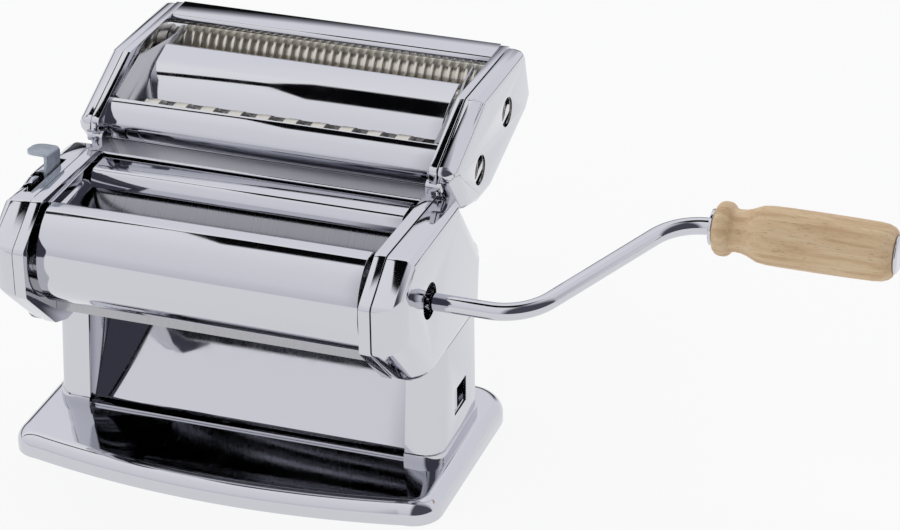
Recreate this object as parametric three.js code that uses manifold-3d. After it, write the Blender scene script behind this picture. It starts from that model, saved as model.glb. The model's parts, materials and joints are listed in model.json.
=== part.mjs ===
// Pasta roller machine with a lift-off two-cut cutter attachment.
// Millimetres, +Z up, front on -Y, crank on +X.
// Origin: on the surface that the machine stands on, under the middle of the whole machine.
// Every size and place below is measured from the middle of the base plate.
import * as THREE from 'three';
import { mergeVertices } from 'three/addons/utils/BufferGeometryUtils.js';
import Module from 'manifold-3d';

const wasm = await Module();
wasm.setup();

// ---------- clearances ----------
const seatGap = 0.3; // between a piece and what it seats on or is cut by
const runGap = 0.3; // between a turning journal and its bore
const cutOver = 5; // how far a cutting solid runs past the face that it opens

// ---------- base plate ----------
const baseWidth = 200;
const baseDepth = 119;
const baseHeight = 11;
const baseWall = 1.2;
const baseEdge = 7; // rounding round the top
const baseBow = 9.5; // how far the front edge bows forward
const baseFrontCorner = 13;
const baseRearCorner = 18;
const baseLift = 0.8; // rim above the table
const footRadius = 6.5;
const footInset = 20; // from the base's sides and ends

// ---------- stands ----------
const standSpan = 150; // between the stands' inner edges
const standWidth = 16.3;
const standWall = 1.5;
const standFront = -16; // front face at the foot
const standRear = 34;
const standTop = 63.2;
const standLean = 5.4; // how far the front face leans back at the top
const standFrontCorner = 9;
const standRearCorner = 3;
const standReturn = 9; // rear fold, inwards
const footBeadHeight = 4;
const footBeadOut = 1;
const clampHole = { front: 4.5, rear: 19.5, low: 25, high: 37.5 };

// ---------- side plates: the rim shows as a band round the head ----------
const plateThick = 5;
const plateInset = 0.5; // inner face outside the stands' inner edges
const plateCorner = 4;
const headFront = -67;
const headTopFront = -46;
const headTopRear = 18;
const headRear = 40.5;
const headRearFoot = 36.5;
const headTop = 128.5;
const headTopFall = 2.5; // the top drops this much towards the rear
const headFrontHigh = 114;
const headFrontLow = 92.5;
const headRearHigh = 96;
const headTipFront = -42;
const headTipRear = -31;
const headTip = 67.5;
const headBottom = 63.5;

// ---------- end covers ----------
const coverGroove = 0.5; // dark joint line between plate and cover
const coverStep = 0.5; // cover outline inside the plate's
const coverDepth = 12.5;
const coverWall = 1.5;
const coverRounds = [4, 12, 11, 6, 5, 8, 13, 5]; // outer edge, one for each side of the head
const crankHole = 8; // radius

// ---------- rollers ----------
const rollerRadius = 16.2;
const rollerEndGap = 0.7; // roller end to side plate
const driveY = -30.4;
const rollerZ = 101.3;
const restNip = 2; // gap between the rollers as set at rest
const journalRadius = 6.4;
const bushWall = 1.8;
const eccentricThrow = 5;
const eccentricWall = 1.6; // thinnest part of the eccentric's rim

// ---------- head gears ----------
const gearTeeth = 15;
const gearTip = 18.1;
const gearRoot = 13.9;
const gearWidth = 5;
const rootShare = 0.3; // half of a tooth at its root, as a share of the pitch
const tipShare = 0.13;
const gearOffset = 1.2; // side plate to gear

// ---------- thickness lever ----------
const leverPivotY = -20.5;
const leverPivotZ = 82;
const leverLean = -8.8; // degrees forward of straight up at rest
const leverForward = 20; // degrees of travel towards the front
const leverBack = 2.5; // degrees of travel towards the rear
const leverThick = 1.6;
const leverOut = 5; // side plate to blade
const leverWidth = 13;
const leverHub = 8; // radius
const leverStud = 3.5; // radius
const studHead = 2; // thickness of its head, with the gap
const studHeadRadius = 7;
const studHeadEdge = 0.6;
const leverRise = 7; // tab above the head's top
const leverTab = 9.5; // tab, outwards
const leverPin = 2.2; // radius
const leverPinIn = 0.4; // from the arm's inner face to the pin's end
const armThick = 2.4;
const armWall = 2.6; // each side of the fork's slot
const forkPlay = 0.8; // lets the pin wander in the fork at the ends of its travel
const slotClear = 1;
const notchDepth = 4;
const notchWidth = 4.5;
const notchCount = 3;

// ---------- swelling of the left cover round the lever ----------
const swellOut = 95.5;
const swellY = -15;
const swellHalf = 31;
const swellDepth = 30;
const swellRound = 5;
const swellFade = 0.09; // how fast the sides draw in downwards
const swellSteps = 8;

// ---------- front cover, hopper and rear cover ----------
const sheetWall = 1.2;
const frontCoverEnd = 2.7; // cover end to side plate
const frontCoverRadius = 25;
const frontCoverY = -36;
const frontCoverZ = 104;
const frontCoverFrom = 116; // degrees
const frontCoverTo = 251;
const hopperLip = [[-41, 119.5], [-42.6, 126.4]];
const rearLip = [[19, 117.6], [14.5, 116]];
const rearWallY = 32.5;
const rearWallHigh = 98;
const rearWallLow = 83;
const guideTopIn = 1.5; // hopper guide: how far it stands in at its upper bend
const guideLowIn = 9.5; // and at the nip
const guideBend = 119;
const guideLow = 106;
const guideFront = -39;
const guideRear = 12.5;

// ---------- chute, scrapers and ties ----------
const chuteFootY = -14;
const chuteBendY = -9;
const chuteTopZ = 80;
const chuteSlope = 60; // degrees from level
const chuteFlange = 14;
const scraperLow = 73;
const scraperBend = 83;
const scraperGap = 0.5;
const scraperFoot = 1.5; // foot, back from the edge
const scraperAngle = 55; // where the blade meets the roller, degrees below level
const frontTie = [-55.3, 104];
const rearTie = [23, 92];
const tieRadius = 4;

// ---------- crank ----------
const rodRadius = 3.8;
const socketDepth = 24;
const shaftEndIn = 5; // shaft end inside the end cover's face
const rodOut = 41.5; // rod corner beyond the end cover
const armAlong = 43.6; // arm's run along X
const armRadius = 79.3; // crank axis to handle axis
const armLift = 8.7; // degrees above level, arm pointing to the rear
const rodBend = 15;
const rodSides = 12;
const handleStart = 14.5; // second rod corner to the handle's washer
const washerThick = 1.5;
const washerRadius = 8;
const gripWall = 0.3; // running clearance on the rod
const gripProfile = [[0, 10.3], [2, 11.8], [8.5, 11.8], [10.5, 10.5], [17, 10.3], [21, 12.6],
  [45, 12.9], [72, 12.7], [76.5, 11.7], [78, 9.8]];
const capThick = 1.2;
const capRadius = 8.5;

// ---------- cutter attachment, in its own tilted frame ----------
const cutterY = 67.5;
const cutterZ = 129;
const cutterTilt = 16.4; // degrees, rear end up
const cutterPlateIn = 77; // inner face of the cutter's plates
const cutterPlateThick = 3.5;
const cutterCorner = 3;
const cutterCoverDepth = 7.5;
const cutterCoverRounds = [8, 7, 7, 4, 4, 4, 4, 4, 5];
const cutterHole = 6.8; // radius
const cutterDrive = 19.3; // driven shafts, each side of the middle
const drumRadius = 9.4;
const drumCore = 7;
const drumSpacing = 17.2;
const wideLean = 46; // degrees, the wide pair's second drum above its first
const drumEnd = 71.5; // half length over the rings
const coreOver = 2; // core past the rings at each end
const shaftRadius = 4;
const shaftSocketRadius = 5.6;
const shaftSocketStart = 0.2; // past the side plate
const narrowPitch = 4;
const widePitch = 13;
const ringClear = 0.2; // each side of a ring in its groove
const cutterGearTeeth = 12;
const cutterGearTip = 9.2;
const cutterGearRoot = 6.5;
const cutterGearWidth = 3;
const cutterGearOffset = 0.7; // cutter plate to gear
const cutterCorners = [[-6.5, 29.1], [-47, 23.6], [-49.6, 17.6], [-40.4, -5.6], [-25.5, -14.7],
  [-10.3, -20.2], [42.5, -20.4], [51.4, -16], [51.4, 10.7]];
const cutterFrontPath = [[-38.4, -4.2], [-42.8, 12.7], [-42, 18.2],
  [-35.2, 23.6], [-31, 24.3]];
const cutterMiddlePath = [[-19, 15.4], [-17.5, 17], [13.5, 17], [14.9, 15.4]];
const cutterRearPath = [[32.4, 13], [33, 15.8], [50, 6.6]];
const hangerPath = [[-37.2, -6], [-25.3, -13.8]];
const combTop = -12;
const combLow = -16;
const combWidth = 3;
const combAside = 4; // wide comb, to the rear of the middle of its pair

// ---------- hook: the cutter's plates hang on a lug of each side plate ----------
const hookRadius = 2.6;
const hookY = 17.5;
const hookZ = 129.6;
const hookRoot = 8; // lug, down into the side plate
const hookPin = 2; // pin, out past the side plate

// ---------- materials ----------
const metal = (color, roughness) => new THREE.MeshStandardMaterial({ color, roughness, metalness: 1 });
const chrome = metal(0xd9dade, 0.08);
const steel = metal(0xb9b8b2, 0.3);
const zinc = metal(0xaebac0, 0.35);
const bronze = metal(0xa9824a, 0.4);
const rubber = new THREE.MeshStandardMaterial({ color: 0x1d1d1e, roughness: 0.8, metalness: 0 });
const beech = new THREE.MeshStandardMaterial({ color: 0xd2a877, roughness: 0.55, metalness: 0 });

// ---------- helpers ----------
const rad = THREE.MathUtils.degToRad;

function toSolid(geometry) {
  const bare = geometry.clone();
  bare.deleteAttribute('normal');
  bare.deleteAttribute('uv');
  const merged = mergeVertices(bare, 1e-4);
  const corners = merged.index.array;
  const faces = [];
  for (let i = 0; i < corners.length; i += 3) {
    const [a, b, c] = corners.slice(i, i + 3);
    if (a !== b && b !== c && c !== a) faces.push(a, b, c);
  }
  return new wasm.Manifold(new wasm.Mesh({
    numProp: 3,
    vertProperties: new Float32Array(merged.attributes.position.array),
    triVerts: new Uint32Array(faces),
  }));
}

function toGeometry(solid) {
  const mesh = solid.getMesh();
  const geometry = new THREE.BufferGeometry();
  geometry.setAttribute('position', new THREE.BufferAttribute(mesh.vertProperties, 3));
  geometry.setIndex(new THREE.BufferAttribute(mesh.triVerts, 1));
  return geometry;
}

const cut = (geometry, ...tools) => toGeometry(
  tools.reduce((solid, tool) => solid.subtract(toSolid(tool)), toSolid(geometry)));
const join = (geometry, ...others) => toGeometry(
  others.reduce((solid, other) => solid.add(toSolid(other)), toSolid(geometry)));
const common = (geometry, ...others) => toGeometry(
  others.reduce((solid, other) => solid.intersect(toSolid(other)), toSolid(geometry)));

// Turns a geometry drawn in (Y, Z) with its depth along +Z so that the depth runs along +X.
const alongX = (geometry) => geometry.applyMatrix4(new THREE.Matrix4().makeBasis(
  new THREE.Vector3(0, 1, 0), new THREE.Vector3(0, 0, 1), new THREE.Vector3(1, 0, 0)));

function block(x0, x1, y0, y1, z0, z1) {
  const box = new THREE.BoxGeometry(Math.abs(x1 - x0), y1 - y0, z1 - z0);
  return box.translate((x0 + x1) / 2, (y0 + y1) / 2, (z0 + z1) / 2);
}

// Round bar along X from x0 to x1 about the axis (y, z).
function bar(radius, x0, x1, y, z, sides = 32) {
  const cylinder = new THREE.CylinderGeometry(radius, radius, Math.abs(x1 - x0), sides);
  return cylinder.rotateZ(Math.PI / 2).translate((x0 + x1) / 2, y, z);
}

// Revolved solid along X; the profile lists [x, radius] and starts and ends on the axis.
function turned(profile, sides = 28) {
  const points = profile.map(([x, radius]) => new THREE.Vector2(radius, x));
  return new THREE.LatheGeometry(points, sides).rotateZ(-Math.PI / 2);
}

// Closed ring or tube along X: the profile lists [x, radius] and closes on itself.
function turnedRing(profile, sides = 24) {
  return turned([...profile, profile[0]], sides);
}

// Closed outline with its corners rounded to a radius, as far as the edges have room.
function outline(corners, radius) {
  const points = corners.flatMap(([x, y], i) => {
    const [px, py] = corners[(i + corners.length - 1) % corners.length];
    const [nx, ny] = corners[(i + 1) % corners.length];
    const before = Math.hypot(px - x, py - y);
    const after = Math.hypot(nx - x, ny - y);
    const a = [(px - x) / before, (py - y) / before];
    const b = [(nx - x) / after, (ny - y) / after];
    const half = Math.acos(a[0] * b[0] + a[1] * b[1]) / 2;
    const trim = Math.min(radius / Math.tan(half), before * 0.48, after * 0.48);
    const round = trim * Math.tan(half);
    const reach = round / Math.sin(half);
    const middle = Math.hypot(a[0] + b[0], a[1] + b[1]);
    const cx = x + ((a[0] + b[0]) / middle) * reach;
    const cy = y + ((a[1] + b[1]) / middle) * reach;
    const from = Math.atan2(y + a[1] * trim - cy, x + a[0] * trim - cx);
    const to = Math.atan2(y + b[1] * trim - cy, x + b[0] * trim - cx);
    const turn = ((to - from + 3 * Math.PI) % (2 * Math.PI)) - Math.PI;
    return [0, 1, 2, 3, 4].map((step) => {
      const angle = from + (turn * step) / 4;
      return new THREE.Vector2(cx + round * Math.cos(angle), cy + round * Math.sin(angle));
    });
  });
  return new THREE.Shape(points);
}

// Moves every edge of a counter-clockwise outline inwards by a distance.
function inset(corners, distance) {
  const edges = corners.map(([x, y], i) => {
    const [nx, ny] = corners[(i + 1) % corners.length];
    const length = Math.hypot(nx - x, ny - y);
    const inwards = [-(ny - y) / length, (nx - x) / length];
    return { inwards, offset: inwards[0] * x + inwards[1] * y + distance };
  });
  return edges.map((edge, i) => {
    const last = edges[(i + edges.length - 1) % edges.length];
    const det = last.inwards[0] * edge.inwards[1] - last.inwards[1] * edge.inwards[0];
    return [
      (last.offset * edge.inwards[1] - edge.offset * last.inwards[1]) / det,
      (edge.offset * last.inwards[0] - last.offset * edge.inwards[0]) / det,
    ];
  });
}

// Outline of a bent sheet: the path is one face, the other lies on its left at the thickness.
function bentSheet(path, thickness) {
  const normals = path.slice(1).map(([x, y], i) => {
    const [px, py] = path[i];
    const length = Math.hypot(x - px, y - py);
    return [-(y - py) / length, (x - px) / length];
  });
  const other = path.map(([x, y], i) => {
    const a = normals[Math.max(i - 1, 0)];
    const b = normals[Math.min(i, normals.length - 1)];
    const scale = thickness / (1 + a[0] * b[0] + a[1] * b[1]);
    return [x + (a[0] + b[0]) * scale, y + (a[1] + b[1]) * scale];
  });
  return new THREE.Shape([...path, ...other.reverse()].map(([x, y]) => new THREE.Vector2(x, y)));
}

// Points on an arc from one angle to another, in degrees.
function arc(x, y, radius, from, to, steps) {
  return Array.from({ length: steps + 1 }, (_, i) => {
    const angle = rad(from + ((to - from) * i) / steps);
    return [x + radius * Math.cos(angle), y + radius * Math.sin(angle)];
  });
}

const toShape = (points) => new THREE.Shape(points.map(([x, y]) => new THREE.Vector2(x, y)));

const extrude = (shape, depth, options = {}) => new THREE.ExtrudeGeometry(shape, {
  depth, bevelEnabled: false, curveSegments: 4, ...options });

// Profile in (Y, Z) extruded from x0 to x1.
const profileX = (shape, x0, x1, options) => alongX(extrude(shape, x1 - x0, options)).translate(x0, 0, 0);

// Plan outline in (X, Y) extruded from z0 to z1.
const planZ = (shape, z0, z1, options) => extrude(shape, z1 - z0, options).translate(0, 0, z0);

const group = new THREE.Group();
const cutter = new THREE.Group();
cutter.position.set(0, cutterY, cutterZ);
cutter.rotation.x = rad(cutterTilt);
group.add(cutter);

function add(name, geometry, material, parent = group) {
  const mesh = new THREE.Mesh(geometry, material);
  mesh.name = name;
  parent.add(mesh);
  return mesh;
}

// Mirrors a right-hand geometry for the left side, with its faces still pointing out.
function mirrored(geometry) {
  const solid = toGeometry(toSolid(geometry));
  const position = solid.attributes.position;
  for (let i = 0; i < position.count; i += 1) position.setX(i, -position.getX(i));
  const index = solid.index.array;
  for (let i = 0; i < index.length; i += 3) [index[i], index[i + 1]] = [index[i + 1], index[i]];
  return solid;
}

// ---------- values that several pieces share ----------
const plateIn = standSpan / 2 + plateInset;
const plateOut = plateIn + plateThick;
const coverIn = plateOut + coverGroove;
const coverOut = coverIn + coverDepth;
const shaftEnd = coverOut - shaftEndIn;
const rollerHalf = plateIn - rollerEndGap;
const adjustableY = driveY + 2 * rollerRadius + restNip;
const bushBore = journalRadius + runGap;
const bushRadius = bushBore + bushWall;
const eccentricBore = bushRadius + runGap;
const eccentricRadius = eccentricThrow + eccentricBore + eccentricWall;
const eccentricY = adjustableY + eccentricThrow * Math.sin(rad(leverLean));
const eccentricZ = rollerZ + eccentricThrow * Math.cos(rad(leverLean));
const rollerTravel = eccentricThrow * (Math.sin(rad(leverForward + leverLean)) - Math.sin(rad(leverLean)));
const headCorners = [
  [headTopFront, headTop], [headFront, headFrontHigh], [headFront, headFrontLow],
  [headTipFront, headTip], [headTipRear, headBottom], [headRearFoot, headBottom],
  [headRear, headRearHigh], [headTopRear, headTop - headTopFall],
];
const standEdgeY = (z) => standFront + (standLean * (z - baseHeight)) / (standTop - baseHeight);

// ---------- base plate and feet ----------
function basePan(grow, height) {
  const half = baseWidth / 2 + grow;
  const rear = baseDepth / 2 + grow;
  const front = -rear + baseBow;
  const corner = baseFrontCorner + grow;
  const back = baseRearCorner + grow;
  const shape = new THREE.Shape();
  shape.moveTo(half, 0);
  shape.lineTo(half, rear - back);
  shape.quadraticCurveTo(half, rear, half - back, rear);
  shape.lineTo(back - half, rear);
  shape.quadraticCurveTo(-half, rear, -half, rear - back);
  shape.lineTo(-half, front + corner);
  shape.quadraticCurveTo(-half, front + 1, corner - half, front - 1);
  shape.quadraticCurveTo(0, front - 2 * baseBow + 1, half - corner, front - 1);
  shape.quadraticCurveTo(half, front + 1, half, front + corner);
  shape.closePath();
  const edge = baseEdge + grow;
  const pan = extrude(shape, height, {
    bevelEnabled: true, bevelThickness: edge, bevelSize: edge, bevelOffset: -edge,
    bevelSegments: 4, curveSegments: 8 });
  return pan.translate(0, 0, -edge);
}

function basePlate() {
  const outer = basePan(0, baseHeight);
  const inner = basePan(-baseWall, baseHeight - baseWall);
  const below = block(-baseWidth, baseWidth, -baseDepth, baseDepth, -baseHeight * 3, baseLift);
  return cut(outer, inner, below);
}

add('base_plate', basePlate(), chrome);
[['left', -1], ['right', 1]].forEach(([side, x]) => {
  [['front', -1], ['rear', 1]].forEach(([end, y]) => {
    const height = baseHeight - baseWall;
    const foot = new THREE.CylinderGeometry(footRadius, footRadius, height, 20).rotateX(Math.PI / 2);
    const mesh = add(`foot_${end}_${side}`, foot, rubber);
    const inFrom = end === 'front' ? baseBow + footInset : footInset;
    mesh.position.set(x * (baseWidth / 2 - footInset), y * (baseDepth / 2 - inFrom), height / 2);
  });
});

// ---------- stands ----------
// Channel of bent sheet, open to the inside; the front face leans back towards the top.
function standShell(grow, height) {
  const inner = standSpan / 2;
  const outer = inner + standWidth + grow;
  const front = standFront - grow;
  const rear = standRear + grow;
  const frontRound = standFrontCorner + grow;
  const rearRound = standRearCorner + grow;
  const path = [
    [inner, front],
    ...arc(outer - frontRound, front + frontRound, frontRound, -90, 0, 6),
    ...arc(outer - rearRound, rear - rearRound, rearRound, 0, 90, 3),
    [outer - grow - standReturn, rear],
  ];
  const shell = planZ(bentSheet(path, standWall + grow), baseHeight, baseHeight + height);
  const position = shell.attributes.position;
  for (let i = 0; i < position.count; i += 1) {
    const share = (standRear - position.getY(i)) / (standRear - standFront);
    const lean = (standLean * (position.getZ(i) - baseHeight)) / (standTop - baseHeight);
    position.setY(i, position.getY(i) + share * lean);
  }
  return shell;
}

function stand() {
  return join(standShell(0, standTop - baseHeight), standShell(footBeadOut, footBeadHeight));
}

const clampCut = block(plateOut + 1, coverOut, clampHole.front, clampHole.rear, clampHole.low, clampHole.high);
add('right_stand', cut(stand(), clampCut), chrome);
add('left_stand', mirrored(stand()), chrome);

// ---------- side plates ----------
// Upright lug with a round top; grown, it cuts the hook that hangs on it.
function hook(grow, x0, x1) {
  const half = hookRadius + grow;
  return profileX(toShape([
    [hookY - half, hookZ - hookRoot], [hookY + half, hookZ - hookRoot], ...arc(hookY, hookZ, half, 0, 180, 10),
  ]), x0, x1);
}

function sidePlate() {
  const legFront = standEdgeY(headBottom) + standWall + seatGap;
  const legRear = standRear - standWall - seatGap;
  const leg = new THREE.Shape([
    [standFront + standWall + seatGap, baseHeight], [legRear, baseHeight],
    [legRear, headBottom + plateCorner], [legFront, headBottom + plateCorner],
  ].map(([y, z]) => new THREE.Vector2(y, z)));
  const head = profileX(outline(headCorners, plateCorner), plateIn, plateOut);
  return cut(join(head, profileX(leg, plateIn, plateOut), hook(0, plateIn, plateOut),
    bar(hookRadius, plateIn, plateOut + hookPin, hookY, hookZ, 20)),
    bar(bushRadius + seatGap, plateIn - cutOver, plateOut + cutOver, driveY, rollerZ),
    bar(eccentricRadius + runGap, plateIn - cutOver, plateOut + cutOver, eccentricY, eccentricZ));
}

add('right_side_plate', sidePlate(), chrome);
add('left_side_plate', mirrored(sidePlate()), chrome);

// ---------- end covers ----------
// Drawn cover over an outline: each side meets the outer face in a round of its own radius.
function coverBody(wall, corners, rounds, x0, depth) {
  const around = inset(corners, coverStep + wall);
  const outer = x0 + depth - wall;
  const far = baseWidth * 2;
  const sides = around.map(([y, z], i) => {
    const [ny, nz] = around[(i + 1) % around.length];
    const length = Math.hypot(ny - y, nz - z);
    const inwards = new THREE.Vector3(0, -(nz - z) / length, (ny - y) / length);
    const across = new THREE.Vector3(1, 0, 0);
    const round = rounds[i] - wall;
    const side = extrude(toShape([
      [-far, 0], ...arc(outer - round, round, round, -90, 0, 5), [outer, far], [-far, far],
    ]), far).translate(0, 0, -far / 2);
    side.applyMatrix4(new THREE.Matrix4().makeBasis(across, inwards, across.clone().cross(inwards)));
    return side.translate(0, y, z);
  });
  return common(profileX(outline(around, plateCorner), x0, outer), ...sides);
}

const coverShape = [headCorners, coverRounds, coverIn, coverDepth];

function endCover() {
  return cut(coverBody(0, ...coverShape), coverBody(coverWall, ...coverShape));
}

// Half oval in plan, rounded into the cover's sloping top and fading out downwards.
function leverSwell(wall) {
  const body = extrude(toShape(arc(0, 0, 1, -90, 90, 16)), 1, { steps: swellSteps });
  const position = body.attributes.position;
  const round = swellRound - wall;
  for (let i = 0; i < position.count; i += 1) {
    const below = (1 - position.getZ(i)) ** 2 * swellDepth;
    const drawn = below < round ? round - Math.sqrt(round ** 2 - (round - below) ** 2)
      : swellFade * (below - round);
    const y = swellY + position.getY(i) * (swellHalf - wall - drawn);
    const fall = (headTopFall * (y - headTopFront)) / (headTopRear - headTopFront);
    position.setX(i, coverIn + position.getX(i) * (swellOut - coverIn - wall - drawn));
    position.setY(i, y);
    position.setZ(i, headTop - coverStep - wall - fall - below);
  }
  return body;
}

function leftCover() {
  return cut(join(coverBody(0, ...coverShape), leverSwell(0)),
    coverBody(coverWall, ...coverShape), leverSwell(coverWall), leverSlot());
}

// Slot in the left cover's top, with detent notches on its outer side.
function leverSlot() {
  const reach = headTop - leverPivotZ;
  const middle = coverIn - coverGroove + leverOut + leverThick / 2;
  const half = leverThick / 2 + slotClear;
  const ends = [leverForward + leverLean, leverLean - leverBack].map((lean) => (
    leverPivotY - reach * Math.tan(rad(lean))));
  const front = ends[0] - leverWidth / 2 - slotClear * 2;
  const rear = ends[1] + leverWidth / 2 + slotClear * 2;
  const z0 = headTop - plateCorner * 2;
  const notches = Array.from({ length: notchCount }, (_, i) => {
    const y = front + ((i + 0.5) * (rear - front)) / notchCount;
    return block(middle, middle + half + notchDepth, y - notchWidth / 2, y + notchWidth / 2, z0, headTop);
  });
  return join(block(middle - half, middle + half, front, rear, z0, headTop), ...notches);
}

const crankOpening = bar(crankHole, shaftEnd, coverOut + cutOver, driveY, rollerZ);
add('right_end_cover', cut(endCover(), crankOpening), chrome);
add('left_end_cover', mirrored(leftCover()), chrome);

// ---------- rollers, bushes and eccentrics ----------
function driveRoller() {
  const bore = rodRadius + gripWall;
  return turned([
    [-plateOut, 0], [-plateOut, journalRadius], [-rollerHalf, journalRadius], [-rollerHalf, rollerRadius],
    [rollerHalf, rollerRadius], [rollerHalf, journalRadius], [shaftEnd, journalRadius],
    [shaftEnd, bore], [shaftEnd - socketDepth, bore], [shaftEnd - socketDepth, 0],
  ], 36).translate(0, driveY, rollerZ);
}

function adjustableRoller() {
  const gearEnd = plateOut + gearOffset + gearWidth;
  return turned([
    [-plateOut, 0], [-plateOut, journalRadius], [-rollerHalf, journalRadius], [-rollerHalf, rollerRadius],
    [rollerHalf, rollerRadius], [rollerHalf, journalRadius], [gearEnd, journalRadius], [gearEnd, 0],
  ], 36).translate(0, adjustableY, rollerZ);
}

const bush = (y) => turnedRing([
  [plateIn, bushBore], [plateIn, bushRadius], [plateOut, bushRadius], [plateOut, bushBore],
]).translate(0, y, rollerZ);

// Gear with straight-sided teeth, one tooth pointing rearwards, bored for its shaft.
function gear(teeth, tip, root, width, bore, x, y, z) {
  const pitch = (2 * Math.PI) / teeth;
  const points = Array.from({ length: teeth }, (_, i) => (
    [[-rootShare, root], [-tipShare, tip], [tipShare, tip], [rootShare, root]].map(([share, radius]) => (
      new THREE.Vector2(radius * Math.cos((i + share) * pitch), radius * Math.sin((i + share) * pitch)))))).flat();
  const shape = new THREE.Shape(points);
  shape.holes.push(new THREE.Path().absarc(0, 0, bore, 0, 2 * Math.PI, true));
  return profileX(shape, x, x + width, { curveSegments: 16 }).translate(0, y, z);
}

const gearX = plateOut + gearOffset;
const gearBore = journalRadius + seatGap;
add('drive_roller', driveRoller(), steel);
add('adjustable_roller', adjustableRoller(), steel);
add('drive_gear', gear(gearTeeth, gearTip, gearRoot, gearWidth, gearBore, gearX, driveY, rollerZ), steel);
add('adjustable_gear', gear(gearTeeth, gearTip, gearRoot, gearWidth, gearBore, gearX, adjustableY, rollerZ), steel);
add('drive_bush_right', bush(driveY), bronze);
add('drive_bush_left', mirrored(bush(driveY)), bronze);
add('roller_bush_right', bush(adjustableY), bronze);
add('roller_bush_left', mirrored(bush(adjustableY)), bronze);

const eccentricBody = (x1) => cut(
  bar(eccentricRadius, plateIn, x1, eccentricY, eccentricZ, 40),
  bar(eccentricBore, plateIn - cutOver, x1 + cutOver, adjustableY, rollerZ, 40));

// The pin of the lever stands halfway between the two pivots, so that lever and eccentric turn
// by equal and opposite angles.
const linkY = (leverPivotY + eccentricY) / 2;
const linkZ = (leverPivotZ + eccentricZ) / 2;
const armInner = plateOut + seatGap;
const armOuter = armInner + armThick;

function leftEccentric() {
  const toPin = Math.atan2(linkZ - eccentricZ, linkY - eccentricY);
  const length = Math.hypot(linkZ - eccentricZ, linkY - eccentricY);
  const half = leverPin + runGap + forkPlay;
  const end = length + leverPin * 2;
  const place = (geometry) => geometry.rotateX(toPin).translate(0, eccentricY, eccentricZ);
  const arm = place(block(armInner, armOuter, eccentricRadius / 2, end, -half - armWall, half + armWall));
  const fork = place(block(plateOut, armOuter + 1, length - half - forkPlay, end + cutOver, -half, half));
  const bore = bar(eccentricBore, plateIn - cutOver, armOuter + cutOver, adjustableY, rollerZ, 40);
  const body = join(bar(eccentricRadius, plateIn, armOuter, eccentricY, eccentricZ, 40), arm);
  return mirrored(cut(body, fork, bore));
}

add('right_eccentric', eccentricBody(plateOut), steel);
add('left_eccentric', leftEccentric(), steel);

// ---------- thickness lever ----------
function thicknessLever() {
  const x0 = plateOut + leverOut;
  const x1 = x0 + leverThick;
  const reach = (headTop + leverRise - leverPivotZ) / Math.cos(rad(leverLean));
  const blade = block(x0, x1, -leverWidth / 2, leverWidth / 2, 0, reach);
  const tab = block(x0, x0 + leverTab + leverThick, -leverWidth / 2, leverWidth / 2, reach - leverThick, reach);
  const body = join(blade, tab).rotateX(rad(leverLean)).translate(0, leverPivotY, leverPivotZ);
  const pin = bar(leverPin, armInner + leverPinIn, x1, linkY, linkZ, 20);
  const hub = bar(leverHub, x0, x1, leverPivotY, leverPivotZ);
  const toPin = Math.atan2(linkZ - leverPivotZ, linkY - leverPivotY);
  const length = Math.hypot(linkZ - leverPivotZ, linkY - leverPivotY) + leverPin * 2;
  const web = block(x0, x1, 0, length, -leverPin * 2, leverPin * 2).rotateX(toPin);
  const bore = bar(leverStud + runGap, x0 - cutOver, x1 + cutOver, leverPivotY, leverPivotZ);
  return mirrored(cut(join(body, hub, web.translate(0, leverPivotY, leverPivotZ), pin), bore));
}

function leverStudBody() {
  const x0 = plateOut + leverOut;
  const headIn = x0 + leverThick + runGap;
  const headOut = x0 + leverThick + studHead;
  return turned([
    [plateOut, 0], [plateOut, leverHub], [x0 - runGap, leverHub], [x0 - runGap, leverStud],
    [headIn, leverStud], [headIn, studHeadRadius], [headOut, studHeadRadius - studHeadEdge], [headOut, 0],
  ], 28).translate(0, leverPivotY, leverPivotZ);
}

add('thickness_lever', thicknessLever(), zinc);
add('lever_stud', mirrored(leverStudBody()), steel);

// ---------- front cover, hopper and rear cover ----------
const sheetAlongX = (path, half) => profileX(bentSheet(path, sheetWall), -half, half);

const frontCoverPath = [
  ...hopperLip,
  ...arc(frontCoverY, frontCoverZ, frontCoverRadius, frontCoverFrom, frontCoverTo, 20),
];
add('front_cover', sheetAlongX(frontCoverPath, plateIn - frontCoverEnd), chrome);

const rearPath = [[rearWallY, rearWallLow], [rearWallY, rearWallHigh], ...rearLip];
add('rear_cover', sheetAlongX(rearPath, plateIn - seatGap), chrome);

// Hopper end guide: stands against the side plate and leans in to the rollers.
function hopperGuide() {
  const path = [
    [plateIn - guideLowIn, guideLow], [plateIn - guideTopIn, guideBend],
    [plateIn, guideBend + guideTopIn], [plateIn, headTop - headTopFall - 1],
  ];
  const sheet = extrude(bentSheet(path, sheetWall), guideRear - guideFront);
  sheet.rotateX(Math.PI / 2).translate(0, guideRear, 0);
  const clear = [driveY, adjustableY, adjustableY - rollerTravel];
  return cut(sheet, ...clear.map((y) => bar(rollerRadius + scraperGap, 0, plateIn, y, rollerZ, 40)));
}

add('right_hopper_guide', hopperGuide(), chrome);
add('left_hopper_guide', mirrored(hopperGuide()), chrome);

// ---------- chute, scrapers and ties ----------
const chuteRise = chuteTopZ - baseHeight;
const chuteTopY = chuteBendY + chuteRise / Math.tan(rad(chuteSlope));
add('chute_panel', sheetAlongX([
  [chuteFootY, baseHeight], [chuteBendY, baseHeight], [chuteTopY, chuteTopZ],
  [chuteTopY, chuteTopZ + chuteFlange],
], plateIn), chrome);

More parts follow.
